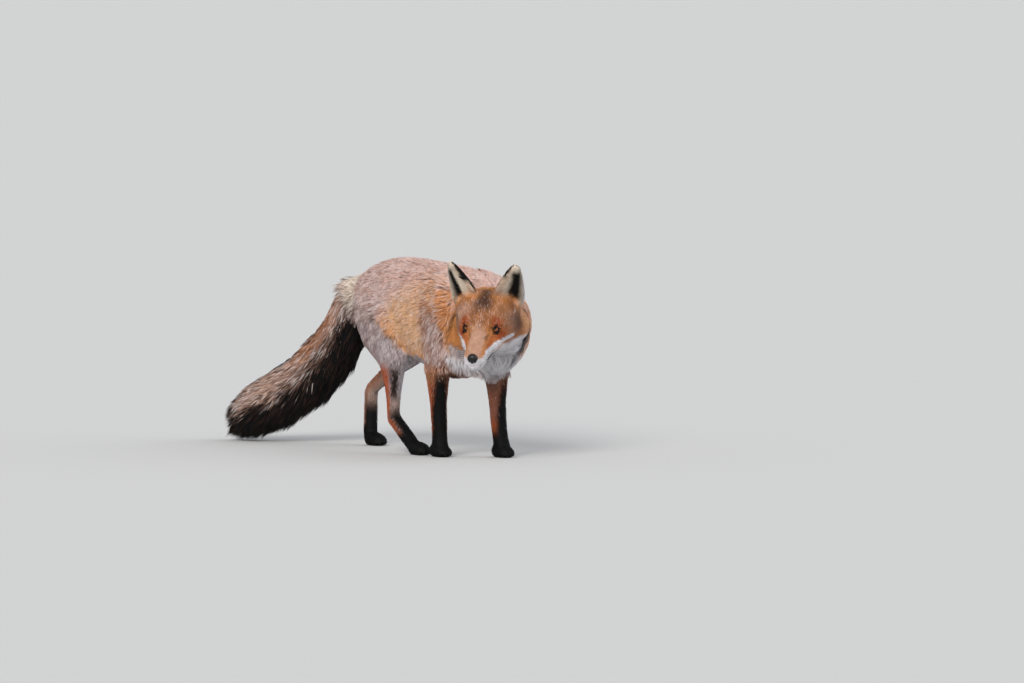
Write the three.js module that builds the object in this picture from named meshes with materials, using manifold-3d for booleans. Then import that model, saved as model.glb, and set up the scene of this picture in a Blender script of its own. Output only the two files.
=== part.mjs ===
// A life-size red fox, standing with its right hind foot brought up and looking to its right.
// Millimetres, +Z up. The fox heads towards -Y and its left side is +X.
// The body is lofted whole, out to the tips of the coat, and then parted by thin cuts.
import * as THREE from "three";
import { mergeVertices } from "three/addons/utils/BufferGeometryUtils.js";
import Module from "manifold-3d";

const wasm = await Module();
wasm.setup();

const { degToRad, lerp } = THREE.MathUtils;

// ---- Driving dimensions ----
const CUT = 0.3; // width of the cuts between neighbours

const WITHERS_TOP = 362; // over the shoulders
const BACK_TOP = 372; // top of the arched back
const RUMP_TOP = 356; // over the hips
const BELLY = 182; // under the waist
const BRISKET = 143; // under the chest
const BREAST_Y = -100;
const RUMP_Y = 342;
const CHEST_HALF_WIDTH = 68;
const LOIN_HALF_WIDTH = 60;

const BETWEEN_EYES = [-80, -200, 255]; // midpoint of the two pupils
const HEAD_TURN = degToRad(-48); // to the fox's right
const HEAD_PITCH = degToRad(24); // muzzle down
const HEAD_ROLL = degToRad(2); // left side down
const MUZZLE_LENGTH = 80; // pupils to nose tip
const HEAD_HALF_WIDTH = 65;
const EYE_SPACING = 53; // between the eyeballs' middles
const EYE_RADIUS = 9.5;
const EYE_DEPTH = 3; // the eyeballs' middles behind the line between the pupils
const EAR_HALF_WIDTH = 32;
const EAR_TIP = [64, 50, 113]; // in the head's frame
const EAR_SPLAY = degToRad(25); // how far each ear opens outwards

const TAIL_HALF_WIDTH = 51;

const PAW_HALF_WIDTH = 17;
const PAW_HALF_LENGTH = 26;
const PAW_HEIGHT = 24;
const ANKLE = 28; // height of the cut above each paw
const TOE_RADIUS = 6;
const CLAW_LENGTH = 8;

const BODY_SEGMENTS = 16;
const HEAD_SEGMENTS = 14;
const LIMB_SEGMENTS = 10;

const UP = new THREE.Vector3(0, 0, 1);
const AHEAD = new THREE.Vector3(0, -1, 0);
const SIDES = [
  ["left", 1],
  ["right", -1],
];
const FAR = 2000; // larger than the fox

// ---- Solids ----
function solidOf(geometry) {
  const bare = geometry.clone();
  bare.deleteAttribute("normal");
  bare.deleteAttribute("uv");
  const merged = mergeVertices(bare, 1e-4);
  return new wasm.Manifold(
    new wasm.Mesh({
      numProp: 3,
      vertProperties: merged.attributes.position.array,
      triVerts: new Uint32Array(merged.index.array),
    }),
  );
}

function geometryOf(solid) {
  const mesh = solid.getMesh();
  const geometry = new THREE.BufferGeometry();
  geometry.setAttribute("position", new THREE.Float32BufferAttribute(mesh.vertProperties, 3));
  geometry.setIndex(new THREE.Uint32BufferAttribute(mesh.triVerts, 1));
  return geometry;
}

// One cross-section: half-width to the sides, half-depth ahead and behind, and how square it is.
const ring = (centre, side, front, back = front, power = 2) => ({ centre, side, front, back, power });

const signedPower = (value, power) => Math.sign(value) * Math.abs(value) ** power;

// A closed skin through the rings, whose fronts face the reference direction.
function loft(rings, reference, { segments = LIMB_SEGMENTS, steps = 2, matrix } = {}) {
  const curve = (points) => new THREE.CatmullRomCurve3(points, false, "catmullrom");
  const spine = curve(rings.map((r) => new THREE.Vector3(...r.centre)));
  const sizes = curve(rings.map((r) => new THREE.Vector3(r.side, r.front, r.back)));
  const count = (rings.length - 1) * steps;
  const points = [spine.getPoint(0)];
  const faces = [];
  for (let i = 0; i <= count; i += 1) {
    const t = i / count;
    const tangent = spine.getTangent(t);
    const side = new THREE.Vector3().crossVectors(reference, tangent).normalize();
    const front = new THREE.Vector3().crossVectors(tangent, side);
    const size = sizes.getPoint(t);
    const at = t * (rings.length - 1);
    const lower = rings[Math.floor(at)];
    const upper = rings[Math.ceil(at)];
    const power = 2 / lerp(lower.power, upper.power, at % 1);
    for (let j = 0; j < segments; j += 1) {
      const angle = (2 * Math.PI * j) / segments;
      const across = signedPower(Math.cos(angle), power) * size.x;
      const deep = signedPower(Math.sin(angle), power) * (Math.sin(angle) > 0 ? size.y : size.z);
      points.push(spine.getPoint(t).addScaledVector(side, across).addScaledVector(front, deep));
    }
  }
  points.push(spine.getPoint(1));
  const last = points.length - 1;
  for (let j = 0; j < segments; j += 1) {
    const next = (j + 1) % segments;
    faces.push(0, 1 + next, 1 + j);
    for (let i = 0; i < count; i += 1) {
      const a = 1 + i * segments + j;
      const b = 1 + i * segments + next;
      faces.push(a, b, a + segments, b, b + segments, a + segments);
    }
    faces.push(last, last - segments + j, last - segments + next);
  }
  const geometry = new THREE.BufferGeometry().setFromPoints(points).setIndex(faces);
  if (matrix) geometry.applyMatrix4(matrix);
  return solidOf(geometry);
}

function ellipsoid(centre, radii, { segments = 10, rows = 7, matrix } = {}) {
  const geometry = new THREE.SphereGeometry(1, segments, rows);
  geometry.scale(...radii);
  geometry.translate(...centre);
  if (matrix) geometry.applyMatrix4(matrix);
  return solidOf(geometry);
}

// ---- Regions, as lists of planes that each keep the side that their normal points to ----
const plane = (point, normal) => ({ point, normal: new THREE.Vector3(...normal).normalize() });

// A plane that contains the line between two points and lies along the third direction.
function planeThrough(a, b, along, insidePoint) {
  const first = new THREE.Vector3(...b).sub(new THREE.Vector3(...a));
  const normal = first.cross(new THREE.Vector3(...along)).normalize();
  const towards = new THREE.Vector3(...insidePoint).sub(new THREE.Vector3(...a));
  if (normal.dot(towards) < 0) normal.negate();
  return { point: a, normal };
}

const inHead = ({ point, normal }) => ({
  point: new THREE.Vector3(...point).applyMatrix4(HEAD).toArray(),
  normal: normal.clone().transformDirection(HEAD),
});

// The solid side of a plane, moved along its normal by the offset.
function halfSpace({ point, normal }, offset) {
  const box = new THREE.BoxGeometry(FAR, FAR, FAR);
  box.translate(0, 0, FAR / 2 + offset);
  box.applyQuaternion(new THREE.Quaternion().setFromUnitVectors(UP, normal));
  box.translate(...point);
  return solidOf(box);
}

const region = (planes, offset) =>
  planes.map((p) => halfSpace(p, offset)).reduce((all, one) => all.intersect(one));

const largest = (solid) => solid.decompose().sort((a, b) => b.volume() - a.volume())[0];

// ---- Trunk and neck ----
function trunkSolid() {
  const at = (y, top, bottom, side, power = 2.25) =>
    ring([0, y, (top + bottom) / 2], side, (top - bottom) / 2, (top - bottom) / 2, power);
  const rings = [
    at(BREAST_Y, 240, 186, 30),
    at(BREAST_Y + 10, 284, 156, 54, 2.5),
    at(BREAST_Y + 35, 322, BRISKET + 1, 66, 2.8),
    at(-35, 350, BRISKET, CHEST_HALF_WIDTH, 2.4),
    at(15, WITHERS_TOP, BRISKET + 6, CHEST_HALF_WIDTH + 1),
    at(75, 368, 162, CHEST_HALF_WIDTH),
    at(130, 371, 173, 65),
    at(185, BACK_TOP, BELLY, 62),
    at(240, 368, 196, LOIN_HALF_WIDTH),
    at(285, RUMP_TOP, 214, LOIN_HALF_WIDTH - 2),
    at(317, 340, 234, 49),
    at(335, 320, 256, 32),
    at(RUMP_Y, 302, 276, 14),
  ];
  return loft(rings, UP, { segments: BODY_SEGMENTS });
}

function neckSolid() {
  const rings = [
    ring([4, 40, 280], 46, 70, 66),
    ring([5, -20, 270], 68, 92, 106),
    ring([8, -68, 262], 76, 94, 108),
    ring([2, -112, 256], 76, 84, 98),
    ring([-18, -146, 252], 62, 70, 72),
    ring([-30, -162, 250], 36, 40, 40),
  ];
  return loft(rings, UP, { segments: BODY_SEGMENTS });
}

// ---- Head, in its own frame: x to the fox's left, -y ahead, z up, zero between the eyes ----
const HEAD = new THREE.Matrix4().compose(
  new THREE.Vector3(...BETWEEN_EYES),
  new THREE.Quaternion().setFromEuler(new THREE.Euler(HEAD_PITCH, HEAD_ROLL, HEAD_TURN, "ZXY")),
  new THREE.Vector3(1, 1, 1),
);

function skullSolid() {
  const at = (ahead, top, bottom, side, power = 2.3) =>
    ring([0, -ahead, (top + bottom) / 2], side, (top - bottom) / 2, (top - bottom) / 2, power);
  const rings = [
    at(-122, 14, -36, 26),
    at(-112, 32, -58, 48),
    at(-90, 45, -76, HEAD_HALF_WIDTH - 4),
    at(-65, 49, -77, HEAD_HALF_WIDTH),
    at(-42, 46, -72, HEAD_HALF_WIDTH - 2, 2.5),
    at(-22, 38, -67, 54, 2.5),
    at(-5, 24, -61, 42.5, 2.4),
    at(10, 8, -60, 27),
    at(28, -1, -59, 24.5),
    at(46, -8, -58, 21.5),
    at(62, -13, -57, 19),
    at(72, -16.5, -53, 16),
    at(76, -22, -46, 9.5),
  ];
  return loft(rings, UP, { segments: HEAD_SEGMENTS, matrix: HEAD });
}

const ruffSolid = (side) => ellipsoid([side * 41, 80, -28], [35, 35, 40], { matrix: HEAD });
const cheekSolid = (side) => ellipsoid([side * 19, 4, -27], [22, 37, 22], { matrix: HEAD });

const eyeSolid = (side, grow) =>
  ellipsoid([(side * EYE_SPACING) / 2, EYE_DEPTH, 0], Array(3).fill(EYE_RADIUS + grow), {
    segments: 10,
    rows: 7,
    matrix: HEAD,
  });

// The dip in the coat that bares the front of an eye.
const orbitSolid = (side) =>
  ellipsoid([side * (EYE_SPACING / 2 + 3), EYE_DEPTH - 13, 1], [11, 12, 8.5], {
    segments: 7,
    rows: 5,
    matrix: HEAD,
  });

const noseSolid = (grow) =>
  ellipsoid([0, 8 - MUZZLE_LENGTH, -27], [10.2, 8, 9.2].map((r) => r + grow), {
    segments: 8,
    rows: 6,
    matrix: HEAD,
  });

// A leaf-shaped cup that opens ahead and outwards.
function earSolid(side) {
  const [tipX, tipY, tipZ] = EAR_TIP;
  const shell = (inset, ahead, lift) => {
    const at = (x, y, z, half, front, back) =>
      ring([side * x, y - ahead, z + lift], half - inset, front - inset, back - inset);
    return [
      at(39, 58, 14, EAR_HALF_WIDTH - 4, 22, 17),
      at(42, 57, 38, EAR_HALF_WIDTH, 19, 15),
      at(48, 55, 62, EAR_HALF_WIDTH - 4, 14, 12),
      at(56, 52, 88, EAR_HALF_WIDTH - 12, 9, 8),
      at(tipX - 2, tipY, tipZ - 6, EAR_HALF_WIDTH - 21, 6, 5),
      at(tipX, tipY, tipZ, 5.2, 4.6, 4.4),
    ];
  };
  const opening = new THREE.Vector3(side * Math.sin(EAR_SPLAY), -Math.cos(EAR_SPLAY), 0);
  const outer = loft(shell(0, 0, 0), opening, { matrix: HEAD });
  const hollow = loft(shell(4, 10, 7).slice(0, 5), opening, { segments: 8, matrix: HEAD });
  return outer.subtract(hollow);
}

// ---- Legs ----
const between = (a, b, share) => a.map((v, i) => lerp(v, b[i], share));

function forelegSolid(side, elbow, [x, y]) {
  const shoulder = [side * 46, -22, 270];
  const wrist = [x, lerp(y, elbow[1], 0.35), 66];
  const rings = [
    ring([side * 34, -4, 338], 10, 16),
    ring([side * 38, -8, 318], 22, 36),
    ring(shoulder, 28, 46),
    ring(between(shoulder, elbow, 0.45), 29, 46, 46),
    ring(between(shoulder, elbow, 0.8), 26, 34, 40),
    ring(elbow, 21, 32, 29),
    ring(between(elbow, wrist, 0.32), 18, 23, 21),
    ring(between(elbow, wrist, 0.65), 14.5, 16, 18),
    ring(wrist, 14, 15, 15.5),
    ring(between(wrist, [x, y, 8], 0.5), 13.5, 14, 14),
    ring([x, y, 16], 15, 16, 16),
    ring([x, y, 5], 11, 12, 12),
  ];
  return loft(rings, AHEAD, { steps: 1 });
}

function hindlegSolid(hip, knee, hock, [x, y]) {
  const ball = [x, y + 18, 15];
  const rings = [
    ring([hip[0] * 0.8, hip[1] + 4, hip[2] + 50], 10, 18),
    ring([hip[0] * 0.9, hip[1] + 2, hip[2] + 32], 23, 40),
    ring(hip, 31, 60, 62),
    ring(between(hip, knee, 0.4), 33, 60, 64),
    ring(between(hip, knee, 0.8), 29, 44, 54),
    ring(between(knee, hock, 0.15), 23, 32, 42),
    ring(between(knee, hock, 0.42), 17, 21, 28),
    ring(between(knee, hock, 0.72), 13, 15, 19),
    ring(hock, 12, 14, 15.5),
    ring(between(hock, ball, 0.35), 12, 13, 13),
    ring(between(hock, ball, 0.75), 12.5, 13, 13),
    ring(ball, 12.5, 12.5, 12.5),
  ];
  return loft(rings, AHEAD, { steps: 1 });
}

// A flat-soled foot with four toes and their claws, its toes pointing ahead.
function pawSolid([x, y]) {
  const matrix = new THREE.Matrix4().makeTranslation(x, y, 0);
  const mid = PAW_HEIGHT / 2;
  const pad = [
    ring([0, PAW_HALF_LENGTH, mid - 2], 8, 9),
    ring([0, PAW_HALF_LENGTH - 9, mid], 14, mid + 1, mid + 1, 2.6),
    ring([0, 2, mid], PAW_HALF_WIDTH, mid + 1, mid + 1, 2.8),
    ring([0, 10 - PAW_HALF_LENGTH, mid - 2], PAW_HALF_WIDTH - 1, mid - 1),
    ring([0, 4 - PAW_HALF_LENGTH, mid - 4], PAW_HALF_WIDTH - 7, mid - 5),
  ];
  let solid = loft(pad, UP, { segments: 8, steps: 1, matrix });
  for (const [across, ahead] of [[-12, 13], [-4.3, 20], [4.3, 20], [12, 13]]) {
    const toe = ellipsoid([across, -ahead, 8], [TOE_RADIUS, 10, 8.5], { segments: 5, rows: 3, matrix });
    const claw = new THREE.ConeGeometry(1.7, CLAW_LENGTH, 3);
    claw.rotateX(degToRad(110));
    claw.translate(across, -ahead - 9, 6);
    claw.applyMatrix4(matrix);
    solid = solid.add(toe).add(solidOf(claw));
  }
  return solid;
}

// ---- Tail ----
const TAIL_SPINE = [
  [0, 300, 318], [-10, 341, 293], [-22, 368, 243], [-34, 394, 196], [-57, 443, 138],
  [-85, 502, 94], [-112, 558, 63], [-129, 593, 44], [-135, 605, 33],
];
const TAIL_SHARES = [0.5, 0.78, 0.95, 1.03, 1.02, 1, 0.88, 0.56, 0.27];
function tailSolid(grow) {
  const rings = TAIL_SPINE.map((centre, i) => {
    const half = TAIL_HALF_WIDTH * TAIL_SHARES[i] + grow;
    return ring(centre, half * 0.92, half);
  });
  return loft(rings, UP, { segments: 14 });
}

const TAIL_CUTS = [
  plane(TAIL_SPINE[1], [-0.1, 0.75, -0.65]),
  plane(TAIL_SPINE[3], [-0.33, 0.7, -0.64]),
  plane(TAIL_SPINE[5], [-0.37, 0.77, -0.52]),
];
const flip = ({ point, normal }) => ({ point, normal: normal.clone().negate() });
const dock = tailSolid(0).intersect(region([flip(TAIL_CUTS[0])], 0));

// ---- The whole body ----
const FEET = {
  foreleft: [42, -80],
  foreright: [-50, -4],
  hindleft: [14, 336],
  hindright: [-56, 62],
};

let flesh = [
  trunkSolid(),
  neckSolid(),
  skullSolid(),
  ruffSolid(1),
  ruffSolid(-1),
  cheekSolid(1),
  cheekSolid(-1),
  earSolid(1),
  earSolid(-1),
  forelegSolid(1, [51, -42, 168], FEET.foreleft),
  forelegSolid(-1, [-52, 3, 168], FEET.foreright),
  hindlegSolid([40, 264, 278], [44, 226, 196], [22, 363, 106], FEET.hindleft),
  hindlegSolid([-40, 252, 276], [-57, 150, 192], [-54, 158, 66], FEET.hindright),
  ...Object.values(FEET).map(pawSolid),
  dock,
].reduce((all, one) => all.add(one));

flesh = flesh.intersect(halfSpace(plane([0, 0, 0], [0, 0, 1]), 0));
for (const [, side] of SIDES) flesh = flesh.subtract(orbitSolid(side)).subtract(eyeSolid(side, CUT));
flesh = flesh.subtract(noseSolid(CUT));

// ---- Parting ----
const pieces = {};

// Cuts the named piece out of what is left of the flesh.
function cutOut(name, planes) {
  pieces[name] = largest(flesh.intersect(region(planes, CUT / 2)));
  flesh = flesh.subtract(region(planes, -CUT / 2));
}

// The tail parts from the rump, and into a root, a middle and an end.
["tail_root", "tail_middle", "tail_end"].forEach((name, i) => {
  const ends = [TAIL_CUTS[i], ...TAIL_CUTS.slice(i + 1, i + 2).map(flip)];
  pieces[name] = largest(tailSolid(0).intersect(region(ends, CUT / 2)));
});
flesh = flesh.subtract(tailSolid(CUT).intersect(region([TAIL_CUTS[0]], -CUT / 2)));

// A paw parts at the ankle, inside a box a little longer behind than ahead.
for (const [name, [x, y]] of Object.entries(FEET))
  cutOut(`paw_${name}`, [
    plane([0, 0, ANKLE], [0, 0, -1]),
    plane([x - 30, 0, 0], [1, 0, 0]),
    plane([x + 30, 0, 0], [-1, 0, 0]),
    plane([0, y - 45, 0], [0, 1, 0]),
    plane([0, y + 33, 0], [0, -1, 0]),
  ]);
for (const [name, side] of SIDES)
  cutOut(`ear_${name}`, [
    inHead(planeThrough([side * 12, 0, 57], [side * 62, 0, 24], [0, 1, 0], [side * 60, 0, 100])),
    inHead(plane([side * 9, 0, 0], [side, 0, 0])),
    inHead(plane([0, 95, 0], [0, -1, 0])),
  ]);
cutOut("muzzle", [inHead(plane([0, -22, 0], [0, -1, -0.1])), inHead(plane([0, 0, -60], [0, 0, 1]))]);
cutOut("head", [
  inHead(plane([0, 92, 0], [0, -1, 0.1])),
  inHead(plane([0, 0, -80], [0, 0.1, 1])),
  plane([0, 0, 165], [0, 0, 1]),
]);

// The forelegs part from the chest at the elbow.
cutOut("foreleg_right", [
  plane([0, 0, 170], [0, 0.05, -1]),
  plane([-8, 0, 0], [-1, 0, 0]),
  plane([0, 34, 0], [0, -1, 0]),
]);
cutOut("foreleg_left", [
  plane([0, -40, 166], [0, 0.05, -1]),
  plane([8, 0, 0], [1, 0, 0]),
  plane([0, 60, 0], [0, -1, 0]),
]);

// The hind feet part at the hock, and the thighs along the flank and under the hip.
cutOut("hindfoot_right", [
  plane([-54, 158, 66], [0, -0.55, -0.83]),
  plane([-8, 0, 0], [-1, 0, 0]),
  plane([0, 30, 0], [0, 1, 0]),
]);
cutOut("hindfoot_left", [
  plane([22, 368, 106], [0, 0.2, -1]),
  plane([-18, 0, 0], [1, 0, 0]),
  plane([0, 280, 0], [0, 1, 0]),
]);
for (const [name, side, flank] of [["right", -1, 84], ["left", 1, 120]])
  cutOut(`thigh_${name}`, [
    planeThrough([side * 46, 0, 325], [side * 16, 0, 185], [0, 1, 0], [side * 70, 0, 250]),
    planeThrough([0, flank, 165], [0, flank + 105, 325], [1, 0, 0], [0, 300, 200]),
    plane([0, 0, 328], [0, -0.3, -1]),
    plane([side * -14, 0, 0], [side, 0, 0]),
    plane([0, 352, 250], [0, -1, -0.25]),
  ]);

cutOut("neck", [
  planeThrough([0, -8, 355], [0, -90, 170], [1, 0, 0], [0, -150, 260]),
  plane([0, 0, 140], [0, 0, 1]),
]);
cutOut("chest", [plane([0, 140, 0], [0, -1, 0])]);
pieces.loin = largest(flesh);
for (const [name, side] of SIDES) pieces[`eye_${name}`] = eyeSolid(side, 0);
pieces.nose = noseSolid(0);

// ---- Colours of the coat and the bare parts ----
const matt = (color, roughness = 0.85) => new THREE.MeshStandardMaterial({ color, roughness, metalness: 0 });
function materialOf(name) {
  if (name.startsWith("paw") || name.startsWith("hindfoot") || name === "tail_end") return matt(0x2a211d);
  if (name.startsWith("eye")) return matt(0x9a5d1e, 0.15);
  if (name === "nose") return matt(0x121214, 0.35);
  if (name === "loin" || name.startsWith("thigh") || name.startsWith("tail")) return matt(0xa5806a);
  return matt(0xb4703f);
}

// The origin is under the middle of the fox's box, on the floor.
const fox = new THREE.Group();
for (const [name, solid] of Object.entries(pieces)) {
  const mesh = new THREE.Mesh(geometryOf(solid), materialOf(name));
  mesh.name = name;
  fox.add(mesh);
}
const middle = new THREE.Box3().setFromObject(fox).getCenter(new THREE.Vector3());
fox.position.set(-middle.x, -middle.y, 0);

export default fox;
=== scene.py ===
"""A life-size red fox in mid step: one skin over the flesh, a coat of mesh locks, eyes, nose and claws.

The trunk heads towards -Y and the fox's left is +X. The head turns to the fox's right.
"""

import math
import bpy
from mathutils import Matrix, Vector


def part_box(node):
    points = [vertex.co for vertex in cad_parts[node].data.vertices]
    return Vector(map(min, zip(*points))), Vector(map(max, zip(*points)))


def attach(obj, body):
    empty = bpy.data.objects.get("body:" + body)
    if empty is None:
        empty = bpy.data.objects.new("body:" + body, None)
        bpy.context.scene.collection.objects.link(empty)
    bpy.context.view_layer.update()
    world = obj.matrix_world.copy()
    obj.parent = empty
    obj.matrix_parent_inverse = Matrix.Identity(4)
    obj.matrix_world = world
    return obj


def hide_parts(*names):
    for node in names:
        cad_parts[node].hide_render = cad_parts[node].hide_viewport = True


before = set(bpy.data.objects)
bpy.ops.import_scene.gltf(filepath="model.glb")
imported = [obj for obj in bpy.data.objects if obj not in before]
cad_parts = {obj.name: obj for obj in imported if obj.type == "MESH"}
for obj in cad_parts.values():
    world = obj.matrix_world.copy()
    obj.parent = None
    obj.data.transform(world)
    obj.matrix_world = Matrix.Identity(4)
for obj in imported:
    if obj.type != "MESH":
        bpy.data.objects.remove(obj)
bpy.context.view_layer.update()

from types import SimpleNamespace

import bmesh
import bpy
import numpy as np
from bpy.props import FloatProperty, FloatVectorProperty, IntProperty, PointerProperty
from mathutils import Matrix, Vector, kdtree
from mathutils.bvhtree import BVHTree

bl_info = {
    "name": "Red fox",
    "version": (1, 0, 0),
    "blender": (4, 5, 0),
    "location": "View3D > Sidebar > Red fox",
    "description": "Builds a life-size red fox with its coat",
    "category": "Add Mesh",
}

MM = 0.001
SIDES = {"left": 1, "right": -1}

# ---- Places ----
# From the middle of the box to the trunk's own origin, on the floor under the withers.
HOME = np.array([0.03451, -0.18107, 0.0])

HEAD_TURN = math.radians(-48)
HEAD_PITCH = math.radians(24)
HEAD_ROLL = math.radians(2)
EYE_DEPTH = 3.0  # mm from the line between the pupils back to the eyeballs' middles

# The nodes that the skin stands for.
FLESH = (
    "muzzle",
    "head",
    "ear_left",
    "ear_right",
    "neck",
    "chest",
    "loin",
    "thigh_left",
    "thigh_right",
    "foreleg_left",
    "foreleg_right",
    "hindfoot_left",
    "hindfoot_right",
    "paw_foreleft",
    "paw_foreright",
    "paw_hindleft",
    "paw_hindright",
    "tail_root",
    "tail_middle",
    "tail_end",
)

# What the coat is like on each kind of flesh, in mm: its depth, its locks' length and their width.
COAT_KINDS = {
    "muzzle": (1.5, 4.0, 0.9),
    "head": (4.0, 8.5, 1.0),
    "ear": (0.9, 5.0, 0.9),
    "neck": (18.0, 26.0, 1.7),
    "chest": (13.0, 22.0, 1.6),
    "loin": (12.0, 21.0, 1.6),
    "thigh": (9.0, 18.0, 1.5),
    "foreleg": (2.8, 8.0, 1.2),
    "hindfoot": (2.6, 7.0, 1.2),
    "paw": (1.6, 5.0, 1.1),
    "tail": (24.0, 40.0, 2.2),
}
DEPTH, LENGTH, WIDTH = range(3)

# The tail's middle line in mm from the trunk's origin, root to tip.
TAIL_SPINE = (
    (0, 300, 318),
    (-10, 341, 293),
    (-22, 368, 243),
    (-34, 394, 196),
    (-57, 443, 138),
    (-85, 502, 94),
    (-112, 558, 63),
    (-129, 593, 44),
    (-135, 605, 33),
)
TAIL = np.array(TAIL_SPINE, float) * MM + HOME
TAIL_SPANS = TAIL[1:] - TAIL[:-1]
TAIL_LENGTHS = np.linalg.norm(TAIL_SPANS, axis=1)
TAIL_REACHED = np.concatenate([[0], np.cumsum(TAIL_LENGTHS)])

LIMBS = ("foreleg", "hindfoot", "paw")  # lean parts under a thin coat
WORK = {}  # what one operator leaves for the next


def kind_of(node):
    return node.split("_")[0]


# ---- Sums on arrays of points ----
def ramp(low, high, value):
    """0 at low and 1 at high, eased; low may be above high."""
    share = np.clip((value - low) / (high - low), 0, 1)
    return share * share * (3 - 2 * share)


def hump(value, middle, reach):
    """1 at the middle, fading out on both sides."""
    return np.exp(-(((value - middle) / reach) ** 2))


def strip(points, line, reach):
    """1 along a line of points, fading out at reach from it."""
    line = np.array(line, float)
    nearest = np.full(len(points), np.inf)
    for start, end in zip(line[:-1], line[1:]):
        span = end - start
        share = np.clip((points - start) @ span / (span @ span), 0, 1)
        away = np.linalg.norm(points - start - share[:, None] * span, axis=1)
        nearest = np.minimum(nearest, away)
    return ramp(reach, reach * 0.45, nearest)


def ball(points, middle, reach):
    return np.exp(-((points - np.array(middle, float)) ** 2).sum(1) / reach**2)


def spot(points, middle, reach, strength):
    """A ball with a flat middle where strength is over 1."""
    return np.clip(ball(points, middle, reach) * strength, 0, 1)


def unit(vectors):
    return vectors / np.maximum(np.linalg.norm(vectors, axis=-1, keepdims=True), 1e-9)


def mix(first, second, share):
    return first + (np.asarray(second) - first) * np.asarray(share)[:, None]


def faces_way(normals, side, outward, ahead):
    """1 where one side's skin faces a way on the level, -1 where it faces away from it."""
    level = unit(np.column_stack([normals[:, 0] * SIDES[side], -normals[:, 1]]))
    return level @ unit(np.array([outward, ahead], float))


class Paint:
    """Colours laid over each other on points."""

    def __init__(self, count, name):
        self.tone = np.tile(colour(name), (count, 1))

    def over(self, name, mask):
        self.tone = mix(self.tone, colour(name), np.clip(mask, 0, 1))


def head_matrix():
    """The head's own frame: x to its left, -y ahead, z up, zero between the pupils."""
    turn = (
        Matrix.Rotation(HEAD_TURN, 3, "Z")
        @ Matrix.Rotation(HEAD_PITCH, 3, "X")
        @ Matrix.Rotation(HEAD_ROLL, 3, "Y")
    )
    middles = [(low + high) / 2 for low, high in (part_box(f"eye_{side}") for side in SIDES)]
    origin = (middles[0] + middles[1]) / 2 - turn @ Vector((0, EYE_DEPTH * MM, 0))
    return np.array(turn), np.array(origin)


HEAD_TURNED, HEAD_ORIGIN = head_matrix()


def in_trunk(points):
    """The points in mm from the trunk's origin."""
    return (points - HOME) / MM


def in_head(points):
    """The points in the head's frame, in mm."""
    return (points - HEAD_ORIGIN) @ HEAD_TURNED / MM


def from_head(points):
    return np.asarray(points, float) @ HEAD_TURNED.T * MM + HEAD_ORIGIN


def turned_from_head(directions):
    return np.asarray(directions, float) @ HEAD_TURNED.T


def mirrored(place):
    """The places with both sides laid on one."""
    return np.column_stack([np.abs(place[:, 0]), place[:, 1:]])


def along_tail(points):
    """For points in m: how far along the tail they are, 0 to 1, the spine's point there and its direction."""
    away = points[:, None] - TAIL[None, :-1]
    share = np.clip((away * TAIL_SPANS).sum(2) / TAIL_LENGTHS**2, 0, 1)
    foot = TAIL[None, :-1] + share[..., None] * TAIL_SPANS
    nearest = np.linalg.norm(points[:, None] - foot, axis=2).argmin(1)
    along = share[np.arange(len(points)), nearest] * TAIL_LENGTHS[nearest]
    reach = (TAIL_REACHED[nearest] + along) / TAIL_REACHED[-1]
    return reach, tail_point(reach), tail_heading(reach)


def tail_point(reach):
    return np.stack([np.interp(reach, TAIL_REACHED / TAIL_REACHED[-1], TAIL[:, i]) for i in range(3)], 1)


def tail_heading(reach, step=0.06):
    return unit(tail_point(np.clip(reach + step, 0, 1)) - tail_point(np.clip(reach - step, 0, 1)))


# ---- Eyes' places ----
EYE_LOOK = {"left": unit(np.array([0.32, -0.94, 0.10])), "right": unit(np.array([-0.18, -0.98, 0.10]))}
LID_TILT = math.radians(15)
LID_HALF_WIDTH = 1.12  # this and the next two as shares of the eyeball's radius
LID_UPPER = 0.60
LID_LOWER = 0.66
OUTSIDE = 9.0  # any share well over 1


def middle_of(node):
    low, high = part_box(node)
    return np.array((low + high) / 2)


def eye_place(side):
    low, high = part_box(f"eye_{side}")
    return middle_of(f"eye_{side}"), max(high - low) / 2


def eye_gap(points, side):
    """How far points are from the eyeball, in mm."""
    centre, radius = eye_place(side)
    return (np.linalg.norm(points - centre, axis=1) - radius) / MM


def lid_axes(side):
    """Ahead out of the eye's opening, along it away from the nose, and up across it."""
    ahead = EYE_LOOK[side]
    outward = np.array([SIDES[side], 0.0, 0.0])
    outward = unit(outward - ahead * (outward @ ahead))
    up = np.cross(ahead, outward) * -SIDES[side]
    along = outward * math.cos(LID_TILT) + up * math.sin(LID_TILT)
    across = up * math.cos(LID_TILT) - outward * math.sin(LID_TILT)
    return [turned_from_head(axis) for axis in (ahead, along, across)]


def lid_half_height(along, upper):
    """The opening's half height at a share of its half width, as a share of the eyeball's radius."""
    full = np.where(upper, LID_UPPER, LID_LOWER)
    return full * np.clip(1 - np.abs(along) ** 2.2, 0, 1) ** 0.8


def lid_share(points, side):
    """Under 1 inside the eye's opening, 1 on its edge, for points round the eyeball."""
    ahead, along, across = lid_axes(side)
    out = unit(points - eye_place(side)[0])
    facing = out @ ahead
    far = np.maximum(facing, 0.05)
    u = (out @ along) / far
    v = (out @ across) / far
    wide = np.abs(u) / LID_HALF_WIDTH
    tall = np.abs(v) / np.maximum(lid_half_height(np.clip(u / LID_HALF_WIDTH, -1, 1), v > 0), 0.02)
    share = np.where(wide < 1, np.maximum(tall, wide**4), OUTSIDE)
    return np.where(facing > 0.05, share, OUTSIDE)


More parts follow.
